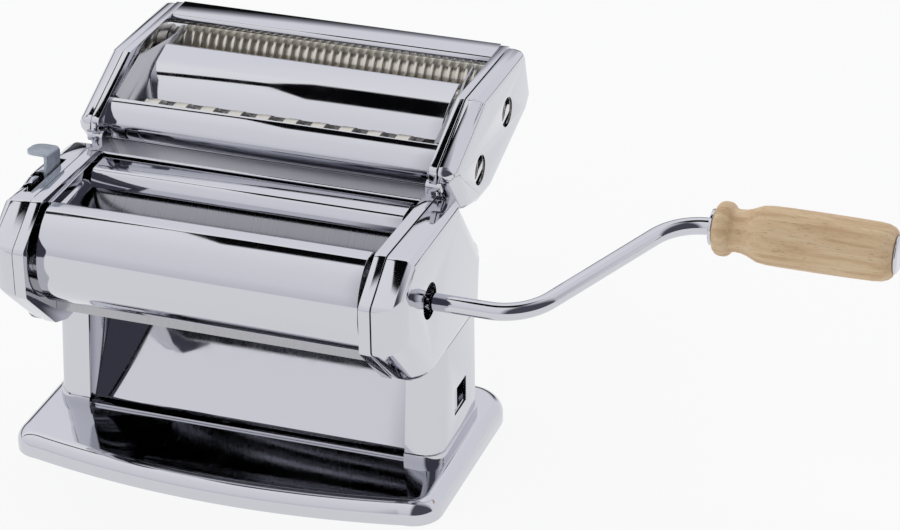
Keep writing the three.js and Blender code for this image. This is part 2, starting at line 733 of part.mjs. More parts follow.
// Scraper blade standing between the side plates, its edge just clear of its roller.
function scraper(y, side) {
  const reach = rollerRadius + scraperGap + sheetWall / 2;
  const edgeY = side * reach * Math.cos(rad(scraperAngle));
  const edgeZ = rollerZ - reach * Math.sin(rad(scraperAngle));
  const foot = y + edgeY - side * scraperFoot;
  return sheetAlongX([[foot, scraperLow], [foot, scraperBend], [y + edgeY, edgeZ]], plateIn);
}

add('front_scraper', scraper(driveY, -1), steel);
add('rear_scraper', scraper(adjustableY, 1), steel);
add('front_tie', bar(tieRadius, -plateIn, plateIn, ...frontTie, 20), steel);
add('rear_tie', bar(tieRadius, -plateIn, plateIn, ...rearTie, 20), steel);

// ---------- crank ----------
const armY = driveY + armRadius * Math.cos(rad(armLift));
const armZ = rollerZ + armRadius * Math.sin(rad(armLift));
const cornerX = coverOut + rodOut;
const handleX = cornerX + armAlong + handleStart;
const gripX = handleX + washerThick + gripWall;
const gripLength = gripProfile[gripProfile.length - 1][0];
const rodEnd = gripX + gripLength + gripWall;

// Rod centre line: straight runs with a quadratic bend at each corner.
function rodPath(points, radius) {
  const path = new THREE.CurvePath();
  let from = points[0];
  points.slice(1, -1).forEach((corner, i) => {
    const into = corner.clone().sub(points[i]).normalize().multiplyScalar(radius);
    const out = points[i + 2].clone().sub(corner).normalize().multiplyScalar(radius);
    path.add(new THREE.LineCurve3(from, corner.clone().sub(into)));
    path.add(new THREE.QuadraticBezierCurve3(corner.clone().sub(into), corner, corner.clone().add(out)));
    from = corner.clone().add(out);
  });
  path.add(new THREE.LineCurve3(from, points[points.length - 1]));
  return path;
}

function crankRod() {
  const start = shaftEnd - socketDepth + 1;
  const path = rodPath([
    new THREE.Vector3(start, driveY, rollerZ), new THREE.Vector3(cornerX, driveY, rollerZ),
    new THREE.Vector3(cornerX + armAlong, armY, armZ), new THREE.Vector3(rodEnd, armY, armZ),
  ], rodBend);
  const section = toShape(arc(0, 0, rodRadius, 0, 360 - 360 / rodSides, rodSides - 1));
  return extrude(section, 1, { steps: 44, extrudePath: path });
}

add('crank_rod', crankRod(), chrome);
add('handle_washer', turnedRing([
  [0, rodRadius + seatGap], [0, washerRadius], [washerThick, washerRadius],
  [washerThick, rodRadius + seatGap],
]).translate(handleX, armY, armZ), chrome);
add('handle_grip', turnedRing([
  [0, rodRadius + gripWall], ...gripProfile, [gripLength, rodRadius + gripWall],
]).translate(gripX, armY, armZ), beech);
add('handle_cap', turned([[0, 0], [0, capRadius], [capThick * 0.5, capRadius], [capThick, capRadius - 1],
  [capThick, 0]]).translate(rodEnd, armY, armZ), chrome);

// ---------- cutter attachment ----------
const cutterOut = cutterPlateIn + cutterPlateThick;
const cutterCoverIn = cutterOut + coverGroove;
const wideY = -cutterDrive;
const narrowY = cutterDrive;
const wideSecond = [wideY - drumSpacing * Math.cos(rad(wideLean)), drumSpacing * Math.sin(rad(wideLean))];
const narrowSecond = [narrowY + drumSpacing, 0];
const drums = {
  wide_drive: [wideY, 0], wide_second: wideSecond, narrow_drive: [narrowY, 0], narrow_second: narrowSecond,
};

// Slot of the hook, open downwards so that the attachment lifts straight off.
const hookSlot = () => hook(seatGap, plateIn - cutOver, plateOut + hookPin + seatGap)
  .translate(0, -cutterY, -cutterZ).rotateX(-rad(cutterTilt));

function cutterPlate() {
  const plate = profileX(outline(cutterCorners, cutterCorner), cutterPlateIn, cutterOut);
  const holes = Object.values(drums).map(([y, z]) => (
    bar(shaftSocketRadius + runGap, cutterPlateIn - cutOver, cutterOut + cutOver, y, z)));
  return cut(plate, hookSlot(), ...holes);
}

function cutterCover(open) {
  const shape = [cutterCorners, cutterCoverRounds, cutterCoverIn, cutterCoverDepth];
  const outer = cutterCoverIn + cutterCoverDepth;
  const holes = open ? [wideY, narrowY].map((y) => bar(cutterHole, outer - 2, outer + cutOver, y, 0)) : [];
  return cut(coverBody(0, ...shape), coverBody(sheetWall, ...shape), hookSlot(), ...holes);
}

add('cutter_right_plate', cutterPlate(), chrome, cutter);
add('cutter_left_plate', mirrored(cutterPlate()), chrome, cutter);
add('cutter_right_cover', cutterCover(true), chrome, cutter);
add('cutter_left_cover', mirrored(cutterCover(false)), chrome, cutter);

const cutterSheet = (path, end) => {
  const sheet = bentSheet(path, -sheetWall);
  return profileX(sheet, end - cutterPlateIn, cutterPlateIn - end);
};
add('cutter_front_plate', cutterSheet([...cutterFrontPath].reverse(), 0), chrome, cutter);
add('cutter_middle_plate', cutterSheet([...cutterMiddlePath].reverse(), 0), chrome, cutter);
add('cutter_rear_plate', cutterSheet([...cutterRearPath].reverse(), 0), chrome, cutter);
add('cutter_hanger', cutterSheet([...hangerPath].reverse(), 0), chrome, cutter);

// Cutting drum: rings at a pitch on a core, on a shaft that runs in both plates.
function drum(pitch, shifted, driven, sides) {
  const ring = pitch / 2 - ringClear * 2;
  const half = shifted ? drumEnd : drumEnd - pitch / 2;
  const count = Math.floor((2 * half) / pitch);
  const first = -((count - 1) * pitch) / 2;
  const rings = Array.from({ length: count }, (_, i) => {
    const x = first + i * pitch;
    return [[x - ring / 2, drumCore], [x - ring / 2, drumRadius], [x + ring / 2, drumRadius],
      [x + ring / 2, drumCore]];
  }).flat();
  const core = drumEnd + coreOver;
  const gearEnd = cutterOut + cutterGearOffset + cutterGearWidth;
  const bore = rodRadius + gripWall;
  const end = cutterCoverIn + cutterCoverDepth - shaftEndIn / 2;
  const drivenEnd = [[cutterOut + shaftSocketStart, shaftSocketRadius], [end, shaftSocketRadius], [end, bore],
    [end - socketDepth, bore], [end - socketDepth, 0]];
  const plainEnd = [[gearEnd, shaftSocketRadius], [gearEnd, 0]];
  return turned([
    [-cutterOut, 0], [-cutterOut, shaftSocketRadius], [-core, shaftSocketRadius], [-core, drumCore], ...rings,
    [core, drumCore], [core, shaftSocketRadius], ...(driven ? drivenEnd : plainEnd),
  ], sides);
}

const drumAt = (geometry, [y, z]) => geometry.translate(0, y, z);
add('wide_drive_drum', drumAt(drum(widePitch, true, true, 14), drums.wide_drive), steel, cutter);
add('wide_second_drum', drumAt(drum(widePitch, false, false, 14), drums.wide_second), steel, cutter);
add('narrow_drive_drum', drumAt(drum(narrowPitch, true, true, 10), drums.narrow_drive), steel, cutter);
add('narrow_second_drum', drumAt(drum(narrowPitch, false, false, 10), drums.narrow_second), steel, cutter);

function cutterGear([y, z], turn) {
  const blank = gear(cutterGearTeeth, cutterGearTip, cutterGearRoot, cutterGearWidth,
    shaftSocketRadius + seatGap, cutterOut + cutterGearOffset, 0, 0);
  return blank.rotateX(turn).translate(0, y, z);
}

const toothPitch = (2 * Math.PI) / cutterGearTeeth;
add('wide_drive_gear', cutterGear(drums.wide_drive, -rad(wideLean)), steel, cutter);
add('wide_second_gear', cutterGear(drums.wide_second, -rad(wideLean) + toothPitch / 2), steel, cutter);
add('narrow_drive_gear', cutterGear(drums.narrow_drive, 0), steel, cutter);
add('narrow_second_gear', cutterGear(drums.narrow_second, toothPitch / 2), steel, cutter);

function comb(a, b, aside) {
  const front = (a[0] + b[0]) / 2 + aside;
  return block(-cutterPlateIn, cutterPlateIn, front, front + combWidth, combLow, combTop);
}

add('wide_comb', comb(drums.wide_drive, drums.wide_second, combAside), steel, cutter);
add('narrow_comb', comb(drums.narrow_drive, drums.narrow_second, 0), steel, cutter);

const machine = new THREE.Group();
machine.add(group);
const middle = new THREE.Box3().setFromObject(machine, true).getCenter(new THREE.Vector3());
group.position.set(-middle.x, -middle.y, 0);

export default machine;
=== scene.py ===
# Pasta roller machine: chrome head on a pressed base, lift-off cutter attachment, beech crank handle.
# Lengths in the settings are millimetres from the middle of the base plate: X runs along the rollers,
# the front faces -Y, and Z is up from the surface that the machine stands on. A finished piece is moved
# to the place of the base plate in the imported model.
import bpy
import json
import math
from mathutils import Matrix, Vector


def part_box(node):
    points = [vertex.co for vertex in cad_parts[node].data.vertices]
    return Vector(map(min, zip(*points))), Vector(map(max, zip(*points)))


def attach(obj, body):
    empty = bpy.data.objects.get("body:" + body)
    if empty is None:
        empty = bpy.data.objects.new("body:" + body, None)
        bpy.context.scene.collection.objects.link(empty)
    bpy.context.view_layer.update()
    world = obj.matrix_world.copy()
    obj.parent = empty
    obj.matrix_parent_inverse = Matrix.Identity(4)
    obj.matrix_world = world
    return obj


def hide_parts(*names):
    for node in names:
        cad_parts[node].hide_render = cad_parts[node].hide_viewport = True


mm = 0.001
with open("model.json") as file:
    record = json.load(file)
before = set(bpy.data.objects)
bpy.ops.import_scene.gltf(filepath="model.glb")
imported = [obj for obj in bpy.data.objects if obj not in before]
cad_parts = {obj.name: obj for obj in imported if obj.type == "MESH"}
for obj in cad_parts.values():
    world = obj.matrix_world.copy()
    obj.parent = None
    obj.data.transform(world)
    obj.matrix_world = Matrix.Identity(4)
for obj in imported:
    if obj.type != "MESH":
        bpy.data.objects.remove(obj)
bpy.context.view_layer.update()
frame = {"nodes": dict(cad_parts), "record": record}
baseLow, baseHigh = (Vector(corner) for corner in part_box("base_plate"))
basePlace = Vector(((baseLow.x + baseHigh.x) / 2, (baseLow.y + baseHigh.y) / 2, 0))

studio = {
    "stand": (510.3, -1160.9, 770.5), "azimuth": 19.83, "elevation": 28.43, "roll": -0.83,
    "lens": 132.2, "farthest": 20000,
    "floor": 6000, "paper": "#FFFFFF", "shadow": 0.12, "light": 1.08,
    # stops from the front horizon, over the top, to the rear horizon
    "sky": [(0, "#D8D8DE"), (0.1, "#E9E9ED"), (0.3, "#F0F0F3"), (0.46, "#FAFAFC"),
            (0.62, "#FFFFFF"), (0.7, "#F4F4F8"), (0.88, "#EDEDF2"), (0.93, "#77777F"),
            (0.96, "#0C0C0E"), (1, "#0C0C0E")],
    "side": [(0, "#50505A"), (0.42, "#50505A"), (0.55, "#EDEDF2"), (1, "#EDEDF2")],
    "sideFrom": 0.02, "sideTo": 0.2,
    # the gap's middle and half width on the same scale, left and right of the stretch where it widens
    "gap": {"color": "#08080A", "widensFrom": -0.414, "widensTo": -0.322, "soft": 0.1,
            "middle": (0.533, 0.5185), "half": (0.018, 0.0815)},
}


def addCamera():
    bpy.ops.object.camera_add()
    camera = bpy.context.object
    camera.name = "camera"
    turn = (Matrix.Rotation(math.radians(studio["azimuth"]), 4, "Z")
            @ Matrix.Rotation(math.radians(90 - studio["elevation"]), 4, "X")
            @ Matrix.Rotation(math.radians(studio["roll"]), 4, "Z"))
    camera.matrix_world = Matrix.Translation(basePlace + Vector(studio["stand"]) * mm) @ turn
    camera.data.lens = studio["lens"]
    camera.data.clip_end = studio["farthest"] * mm
    bpy.context.scene.camera = camera


# Hex codes are sRGB, and Blender's colours are linear.
def linearColor(code):
    def toLinear(value):
        return value / 12.92 if value <= 0.04045 else ((value + 0.055) / 1.055) ** 2.4
    return [toLinear(int(code[i:i + 2], 16) / 255) for i in (1, 3, 5)] + [1]


def addNode(tree, kind, settings=None, links=None):
    node = tree.nodes.new(kind)
    for key, value in (settings or {}).items():
        if key == "stops":
            while len(node.color_ramp.elements) < len(value):
                node.color_ramp.elements.new(0.5)
            for element, (place, color) in zip(node.color_ramp.elements, value):
                element.position = place
                element.color = linearColor(color)
        elif isinstance(key, str) and hasattr(node, key):
            setattr(node, key, value)
        else:
            node.inputs[key].default_value = value
    for key, source in (links or {}).items():
        tree.links.new(source, node.inputs[key])
    return node


addCamera()
bpy.context.scene.view_settings.view_transform = "Standard"
print("camera placed")


# Two wide soft boxes, one in front and one behind. Between them, overhead, a dark gap widens to the
# right. The room behind is dark, and so is the low front on the right.
def addWorld():
    world = bpy.data.worlds.new("soft studio")
    bpy.context.scene.world = world
    world.use_nodes = True
    tree = world.node_tree
    tree.nodes.clear()
    direction = addNode(tree, "ShaderNodeTexCoord").outputs["Generated"]
    axes = addNode(tree, "ShaderNodeSeparateXYZ", links={0: direction})
    front = addNode(tree, "ShaderNodeMath", {"operation": "MULTIPLY", 1: -1}, {0: axes.outputs["Y"]})
    angle = addNode(tree, "ShaderNodeMath", {"operation": "ARCTAN2"},
                    {0: axes.outputs["Z"], 1: front.outputs[0]})
    share = addNode(tree, "ShaderNodeMath", {"operation": "DIVIDE", 1: math.pi}, {0: angle.outputs[0]})
    sky = addNode(tree, "ShaderNodeValToRGB", {"stops": studio["sky"]}, {0: share.outputs[0]})

    gap = studio["gap"]
    middle, half = (addNode(tree, "ShaderNodeMapRange", {
        "From Min": gap["widensFrom"], "From Max": gap["widensTo"], "To Min": left, "To Max": right},
        {0: axes.outputs["X"]}) for left, right in (gap["middle"], gap["half"]))
    aside = addNode(tree, "ShaderNodeMath", {"operation": "SUBTRACT"},
                    {0: share.outputs[0], 1: middle.outputs[0]})
    off = addNode(tree, "ShaderNodeMath", {"operation": "ABSOLUTE"}, {0: aside.outputs[0]})
    part = addNode(tree, "ShaderNodeMath", {"operation": "DIVIDE"}, {0: off.outputs[0], 1: half.outputs[0]})
    dark = addNode(tree, "ShaderNodeMapRange", {"From Min": 1 + gap["soft"], "From Max": 1 - gap["soft"]},
                   {0: part.outputs[0]})
    opened = addNode(tree, "ShaderNodeMix", {"data_type": "RGBA", 7: linearColor(gap["color"])},
                     {0: dark.outputs[0], 6: sky.outputs[0]})

    side = addNode(tree, "ShaderNodeValToRGB", {"stops": studio["side"]}, {0: share.outputs[0]})
    right = addNode(tree, "ShaderNodeMapRange", {
        "From Min": studio["sideFrom"], "From Max": studio["sideTo"]}, {0: axes.outputs["X"]})
    tone = addNode(tree, "ShaderNodeMix", {"data_type": "RGBA"},
                   {0: right.outputs[0], 6: opened.outputs[2], 7: side.outputs[0]})
    around = addNode(tree, "ShaderNodeBackground", {"Strength": studio["light"]}, {"Color": tone.outputs[2]})
    seen = addNode(tree, "ShaderNodeBackground", {"Color": (1, 1, 1, 1), "Strength": 1})
    path = addNode(tree, "ShaderNodeLightPath")
    mix = addNode(tree, "ShaderNodeMixShader", links={
        0: path.outputs["Is Camera Ray"], 1: around.outputs[0], 2: seen.outputs[0]})
    addNode(tree, "ShaderNodeOutputWorld", links={0: mix.outputs[0]})


# Seen straight or mirrored, the paper is mostly plain white. The share that is lit holds the shadow.
def addFloor():
    bpy.ops.mesh.primitive_plane_add(size=studio["floor"] * mm)
    floor = bpy.context.object
    floor.name = "floor"
    material = bpy.data.materials.new("white paper")
    material.use_nodes = True
    tree = material.node_tree
    tree.nodes.clear()
    lit = addNode(tree, "ShaderNodeBsdfDiffuse", {"Color": linearColor(studio["paper"])})
    glow = addNode(tree, "ShaderNodeEmission", {"Color": (1, 1, 1, 1), "Strength": 1})
    path = addNode(tree, "ShaderNodeLightPath")
    looked = addNode(tree, "ShaderNodeMath", {"operation": "MAXIMUM"}, {
        0: path.outputs["Is Camera Ray"], 1: path.outputs["Is Glossy Ray"]})
    share = addNode(tree, "ShaderNodeMath", {"operation": "MULTIPLY", 1: 1 - studio["shadow"]},
                    {0: looked.outputs[0]})
    mix = addNode(tree, "ShaderNodeMixShader", links={
        0: share.outputs[0], 1: lit.outputs[0], 2: glow.outputs[0]})
    addNode(tree, "ShaderNodeOutputMaterial", links={0: mix.outputs[0]})
    floor.data.materials.append(material)


addWorld()
addFloor()
print("studio lit")


def newFinish(name, color, roughness, metallic=1):
    material = bpy.data.materials.new(name)
    material.use_nodes = True
    tree = material.node_tree
    shader = tree.nodes["Principled BSDF"]
    shader.inputs["Base Color"].default_value = linearColor(color)
    shader.inputs["Metallic"].default_value = metallic
    shader.inputs["Roughness"].default_value = roughness
    place = addNode(tree, "ShaderNodeTexCoord").outputs["Object"]
    return material, tree, shader, place


# Noise with lumps of one size in mm, or of a size for each axis where the grain runs one way.
def addPattern(tree, place, size, detail, distortion=0):
    settings = {"Scale": 1, "Detail": detail, "Distortion": distortion}
    if isinstance(size, tuple):
        place = addNode(tree, "ShaderNodeMapping", {"Scale": [1 / (side * mm) for side in size]},
                        {"Vector": place}).outputs[0]
    else:
        settings["Scale"] = 1 / (size * mm)
    return addNode(tree, "ShaderNodeTexNoise", settings, {"Vector": place}).outputs[0]


def varyRoughness(tree, shader, pattern, stretch, low, high):
    rough = addNode(tree, "ShaderNodeMapRange", {
        "From Min": stretch[0], "From Max": stretch[1], "To Min": low, "To Max": high}, {0: pattern})
    tree.links.new(rough.outputs[0], shader.inputs["Roughness"])


def addRelief(tree, shader, pattern, strength, deep):
    bump = addNode(tree, "ShaderNodeBump", {"Strength": strength, "Distance": deep * mm}, {"Height": pattern})
    tree.links.new(bump.outputs[0], shader.inputs["Normal"])


# Pattern sizes and depths are mm. Where a pattern changes the roughness, it goes from low to high over the
# stretch of the pattern's values.
surfaces = {
    "chrome": {"color": "#CDCED4", "roughness": 0.05, "low": 0.04, "high": 0.09, "stretch": (0.35, 0.75),
               "wave": 22, "waveDeep": 0.2, "waveStrength": 0.1, "haze": 9},
    "steel": {"grind": (0.6, 40, 40), "grindDeep": 0.02, "grindStrength": 0.15, "stretch": (0.3, 0.7)},
    "zinc": {"color": "#B4BCC6", "tones": [(0.3, "#A9B2BD"), (0.7, "#C3CAD2")],
             "roughness": 0.5, "low": 0.42, "high": 0.6, "stretch": (0, 1), "cloud": 4},
    "bronze": {"color": "#A8834E", "roughness": 0.42, "pores": 0.5, "poresDeep": 0.03, "poresStrength": 0.3},
    "rubber": {"color": "#1C1C1E", "roughness": 0.75, "grain": 0.8, "grainDeep": 0.05, "grainStrength": 0.3},
    "beech": {"color": "#EECEA2", "tones": [(0.32, "#DEBA8E"), (0.5, "#EECEA2"), (0.68, "#F6DCB4")],
              "roughness": 0.52, "bands": (34, 3.2, 3.2), "bandsTwist": 0.4,
              "fleck": "#A87F52", "flecks": (3.6, 0.5, 0.5), "fleckStretch": (0.6, 0.72), "fleckShare": 0.55,
              "fleckDeep": 0.06, "fleckStrength": 0.2},
}


# Chrome plate over pressed steel: a cool mirror, a little wavy from the press, clean but not perfect.
def makeChrome():
    look = surfaces["chrome"]
    material, tree, shader, place = newFinish("bright chrome plate", look["color"], look["roughness"])
    wave = addPattern(tree, place, look["wave"], detail=1)
    haze = addPattern(tree, place, look["haze"], detail=4)
    varyRoughness(tree, shader, haze, look["stretch"], look["low"], look["high"])
    addRelief(tree, shader, wave, look["waveStrength"], look["waveDeep"])
    return material


# Ground steel, plated or not: softer than chrome, ringed by the grinding. The rings are drawn coarser
# than real ones, so that they show.
def makeSteel(name, color, low, high):
    look = surfaces["steel"]
    material, tree, shader, place = newFinish(name, color, low)
    rings = addPattern(tree, place, look["grind"], detail=2)
    varyRoughness(tree, shader, rings, look["stretch"], low, high)
    addRelief(tree, shader, rings, look["grindStrength"], look["grindDeep"])
    return material


# Zinc plate on stamped steel: bluish, half dull, faintly cloudy.
def makeZinc():
    look = surfaces["zinc"]
    material, tree, shader, place = newFinish("zinc plate", look["color"], look["roughness"])
    cloud = addPattern(tree, place, look["cloud"], detail=5)
    tone = addNode(tree, "ShaderNodeValToRGB", {"stops": look["tones"]}, {0: cloud})
    tree.links.new(tone.outputs[0], shader.inputs["Base Color"])
    varyRoughness(tree, shader, cloud, look["stretch"], look["low"], look["high"])
    return material


# Sintered bronze bearing: brown-gold, dull from its pores, which are drawn coarser than real ones.
def makeBronze():
    look = surfaces["bronze"]
    material, tree, shader, place = newFinish("sintered bronze", look["color"], look["roughness"])
    pores = addPattern(tree, place, look["pores"], detail=3)
    addRelief(tree, shader, pores, look["poresStrength"], look["poresDeep"])
    return material


# Moulded rubber: near black, matt, lightly grained.
def makeRubber():
    look = surfaces["rubber"]
    material, tree, shader, place = newFinish("moulded rubber", look["color"], look["roughness"], metallic=0)
    grain = addPattern(tree, place, look["grain"], detail=3)
    addRelief(tree, shader, grain, look["grainStrength"], look["grainDeep"])
    return material


# Turned beech, sanded and left bare: pale tan with soft growth bands and short darker flecks along the grain.
def makeBeech():
    look = surfaces["beech"]
    material, tree, shader, place = newFinish("sanded beech", look["color"], look["roughness"], metallic=0)
    bands = addPattern(tree, place, look["bands"], detail=3, distortion=look["bandsTwist"])
    tone = addNode(tree, "ShaderNodeValToRGB", {"stops": look["tones"]}, {0: bands})
    flecks = addPattern(tree, place, look["flecks"], detail=2)
    mask = addNode(tree, "ShaderNodeMapRange", {
        "From Min": look["fleckStretch"][0], "From Max": look["fleckStretch"][1],
        "To Min": 0, "To Max": look["fleckShare"]}, {0: flecks})
    mixed = addNode(tree, "ShaderNodeMix", {"data_type": "RGBA", 7: linearColor(look["fleck"])},
                    {0: mask.outputs[0], 6: tone.outputs[0]})
    tree.links.new(mixed.outputs[2], shader.inputs["Base Color"])
    addRelief(tree, shader, flecks, look["fleckStrength"], look["fleckDeep"])
    return material


finishes = {
    "chrome": makeChrome(),
    "steel": makeSteel("ground steel", "#B2B2B6", low=0.16, high=0.32),
    # The rollers' steel is painted darker than the other ground steel: painted shade for their place down in
    # the hopper.
    "roller": makeSteel("ground and polished roller steel with painted hopper shade", "#94949A", low=0.14, high=0.3),
    "sheet": makeSteel("bare rolled steel sheet", "#C4C4CA", low=0.34, high=0.5),
    "nickel": makeSteel("nickel plate on ground steel", "#D8D4CA", low=0.26, high=0.36),
    "zinc": makeZinc(),
    "bronze": makeBronze(),
    "rubber": makeRubber(),
    "beech": makeBeech(),
}
for row in frame["record"]["subparts"]:
    node = frame["nodes"][row["node"]]
    node.data.materials.clear()
    node.data.materials.append(finishes[row["material_slot"]])
print("finishes mixed")


def deselectAll():
    bpy.ops.object.select_all(action="DESELECT")


def closeEdit():
    bpy.ops.object.mode_set(mode="OBJECT")


def pick(*pieces):
    deselectAll()
    for piece in pieces:
        piece.select_set(True)
    bpy.context.view_layer.objects.active = pieces[0]


# Opens a piece in edit mode with the vertices, edges or faces that pass the test selected.
def openWith(piece, kind, test):
    pick(piece)
    bpy.ops.object.mode_set(mode="EDIT")
    bpy.ops.mesh.select_mode(type=kind)
    bpy.ops.mesh.select_all(action="DESELECT")
    closeEdit()
    mesh = piece.data
    spots = [vertex.co / mm for vertex in mesh.vertices]
    if kind == "FACE":
        for face in mesh.polygons:
            face.select = test(face.center / mm, face.normal)
    elif kind == "EDGE":
        for edge in mesh.edges:
            edge.select = test(*(spots[i] for i in edge.vertices))
    else:
        for vertex, spot in zip(mesh.vertices, spots):
            vertex.select = test(spot)
    bpy.ops.object.mode_set(mode="EDIT")


near = 0.1  # mm within which a point counts as being at a place
facing = 0.9  # share of a face's normal along an axis that makes it face that way


# The piece's place, turn and scale go into its mesh.
def settle(piece):
    pick(piece)
    bpy.ops.object.transform_apply(location=True, rotation=True, scale=True)


# Merges vertices that lie closer than the gap, and turns every face outwards.
def tidyMesh(piece, gap=0.01):
    pick(piece)
    bpy.ops.object.mode_set(mode="EDIT")
    bpy.ops.mesh.select_all(action="SELECT")
    bpy.ops.mesh.remove_doubles(threshold=gap * mm)
    bpy.ops.mesh.normals_make_consistent(inside=False)
    closeEdit()


def applyModifier(piece, kind, **settings):
    pick(piece)
    modifier = piece.modifiers.new(kind.lower(), kind)
    for key, value in settings.items():
        setattr(modifier, key, value)
    bpy.ops.object.modifier_apply(modifier=modifier.name)


# Edges that turn by more than the sharp angle get a small round. Shading is smooth where faces meet at
# less than the smooth one.
def roundEdges(piece, width, segments=3, sharp=35, smooth=40):
    if width:
        applyModifier(piece, "BEVEL", width=width * mm, segments=segments, limit_method="ANGLE",
                      angle_limit=math.radians(sharp))
    pick(piece)
    bpy.ops.object.shade_smooth_by_angle(angle=math.radians(smooth))


def carve(piece, tool, operation="DIFFERENCE"):
    applyModifier(piece, "BOOLEAN", object=tool, operation=operation, solver="MANIFOLD")
    bpy.data.objects.remove(tool)


# A finished piece goes to its place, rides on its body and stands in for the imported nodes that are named.
def dress(piece, name, body, slot, *nodes, finish=None):
    piece.location = basePlace
    settle(piece)
    piece.name = name
    piece.data.name = name
    piece.data.materials.clear()
    piece.data.materials.append(finishes[finish or slot])
    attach(piece, body)
    if nodes:
        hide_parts(*nodes)


# Turned piece along X: a disc is extruded from station to station and scaled to each radius.
def turnPiece(profile, y, z, sides=96):
    (at, radius), *stations = profile
    deselectAll()
    bpy.ops.mesh.primitive_circle_add(vertices=sides, radius=radius * mm, fill_type="NGON",
                                      location=(at * mm, y * mm, z * mm), rotation=(0, math.pi / 2, 0))
    piece = bpy.context.object
    settle(piece)
    bpy.ops.object.mode_set(mode="EDIT")
    bpy.ops.mesh.select_mode(type="FACE")
    bpy.ops.mesh.select_all(action="SELECT")
    for x, size in stations:
        bpy.ops.mesh.extrude_region_move(TRANSFORM_OT_translate={"value": ((x - at) * mm, 0, 0)})
        if size != radius:
            bpy.ops.transform.resize(value=(1, size / radius, size / radius),
                                     center_override=(x * mm, y * mm, z * mm))
        at, radius = x, size
    bpy.ops.mesh.select_all(action="SELECT")
    bpy.ops.mesh.normals_make_consistent(inside=False)
    closeEdit()
    return piece


foldSteps = 6
foldNear = 0.02  # mm within which an edge belongs to a fold


# Folded sheet: a strip runs along X, and its edge is extruded from fold to fold or spun round an arc.
# The wall goes on the left of the path, seen from the crank's side.
def foldSheet(path, half, wall, folds):
    (y0, z0), (y1, z1) = path[:2]
    middle = ((y0 + y1) / 2, (z0 + z1) / 2)
    deselectAll()
    bpy.ops.mesh.primitive_plane_add(size=1, location=(0, middle[0] * mm, middle[1] * mm),
                                     rotation=(math.atan2(z1 - z0, y1 - y0), 0, 0))
    piece = bpy.context.object
    piece.scale = (2 * half * mm, math.hypot(y1 - y0, z1 - z0) * mm, 1)
    settle(piece)

    def awayFrom(spot, y, z):
        return abs(spot.y - y) + abs(spot.z - z)

    def openLine(y, z):
        openWith(piece, "EDGE", lambda *ends: all(awayFrom(end, y, z) < foldNear for end in ends))

    openLine(y1, z1)
    at = Vector((0, y1, z1))
    for step in path[2:]:
        if isinstance(step, dict):
            centre = Vector((0, *step["centre"]))
            turn = math.radians(step["angle"])
            bpy.ops.mesh.spin(steps=step["steps"], angle=-turn, center=[side * mm for side in centre],
                              axis=(1, 0, 0))
            at = Matrix.Rotation(turn, 3, "X") @ (at - centre) + centre
        else:
            to = Vector((0, *step))
            bpy.ops.mesh.extrude_region_move(TRANSFORM_OT_translate={"value": (to - at) * mm})
            at = to
    closeEdit()
    tidyMesh(piece)
    for (y, z), radius in folds.items():
        openLine(y, z)
        bpy.ops.mesh.bevel(offset=radius * mm, segments=foldSteps, affect="EDGES")
        closeEdit()
    left = Vector((0, z0 - z1, y1 - y0))
    start = min(piece.data.polygons, key=lambda face: awayFrom(face.center / mm, *middle))
    applyModifier(piece, "SOLIDIFY", thickness=wall * mm, offset=1 if start.normal.dot(left) > 0 else -1,
                  use_even_offset=True)
    return piece


copying = {"weld": 0.002, "flat": 0.5}  # mm between doubles, degrees within a flat face


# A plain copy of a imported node, welded and cleared of its loose triangles, ready for rounding.
def copyNode(name):
    piece = bpy.data.objects.new(name, frame["nodes"][name].data.copy())
    bpy.context.collection.objects.link(piece)
    pick(piece)
    bpy.ops.object.mode_set(mode="EDIT")
    bpy.ops.mesh.select_all(action="SELECT")
    bpy.ops.mesh.remove_doubles(threshold=copying["weld"] * mm)
    bpy.ops.mesh.dissolve_limited(angle_limit=math.radians(copying["flat"]))
    closeEdit()
    piece.location = -basePlace
    settle(piece)
    return piece


# Each side of an outline moves inwards, and its corners are where neighbours cross again.
def insetOutline(corners, distance):
    sides = []
    for (y, z), (nextY, nextZ) in zip(corners, corners[1:] + corners[:1]):
        length = math.hypot(nextY - y, nextZ - z)
        inY, inZ = -(nextZ - z) / length, (nextY - y) / length
        sides.append((inY, inZ, inY * y + inZ * z + distance))
    inset = []
    for (lastY, lastZ, lastOff), (inY, inZ, off) in zip(sides[-1:] + sides[:-1], sides):
        cross = lastY * inZ - lastZ * inY
        inset.append(((lastOff * inZ - off * lastZ) / cross, (lastY * off - inY * lastOff) / cross))
    return inset


coverSteps = 8  # in each of a cover's rounds


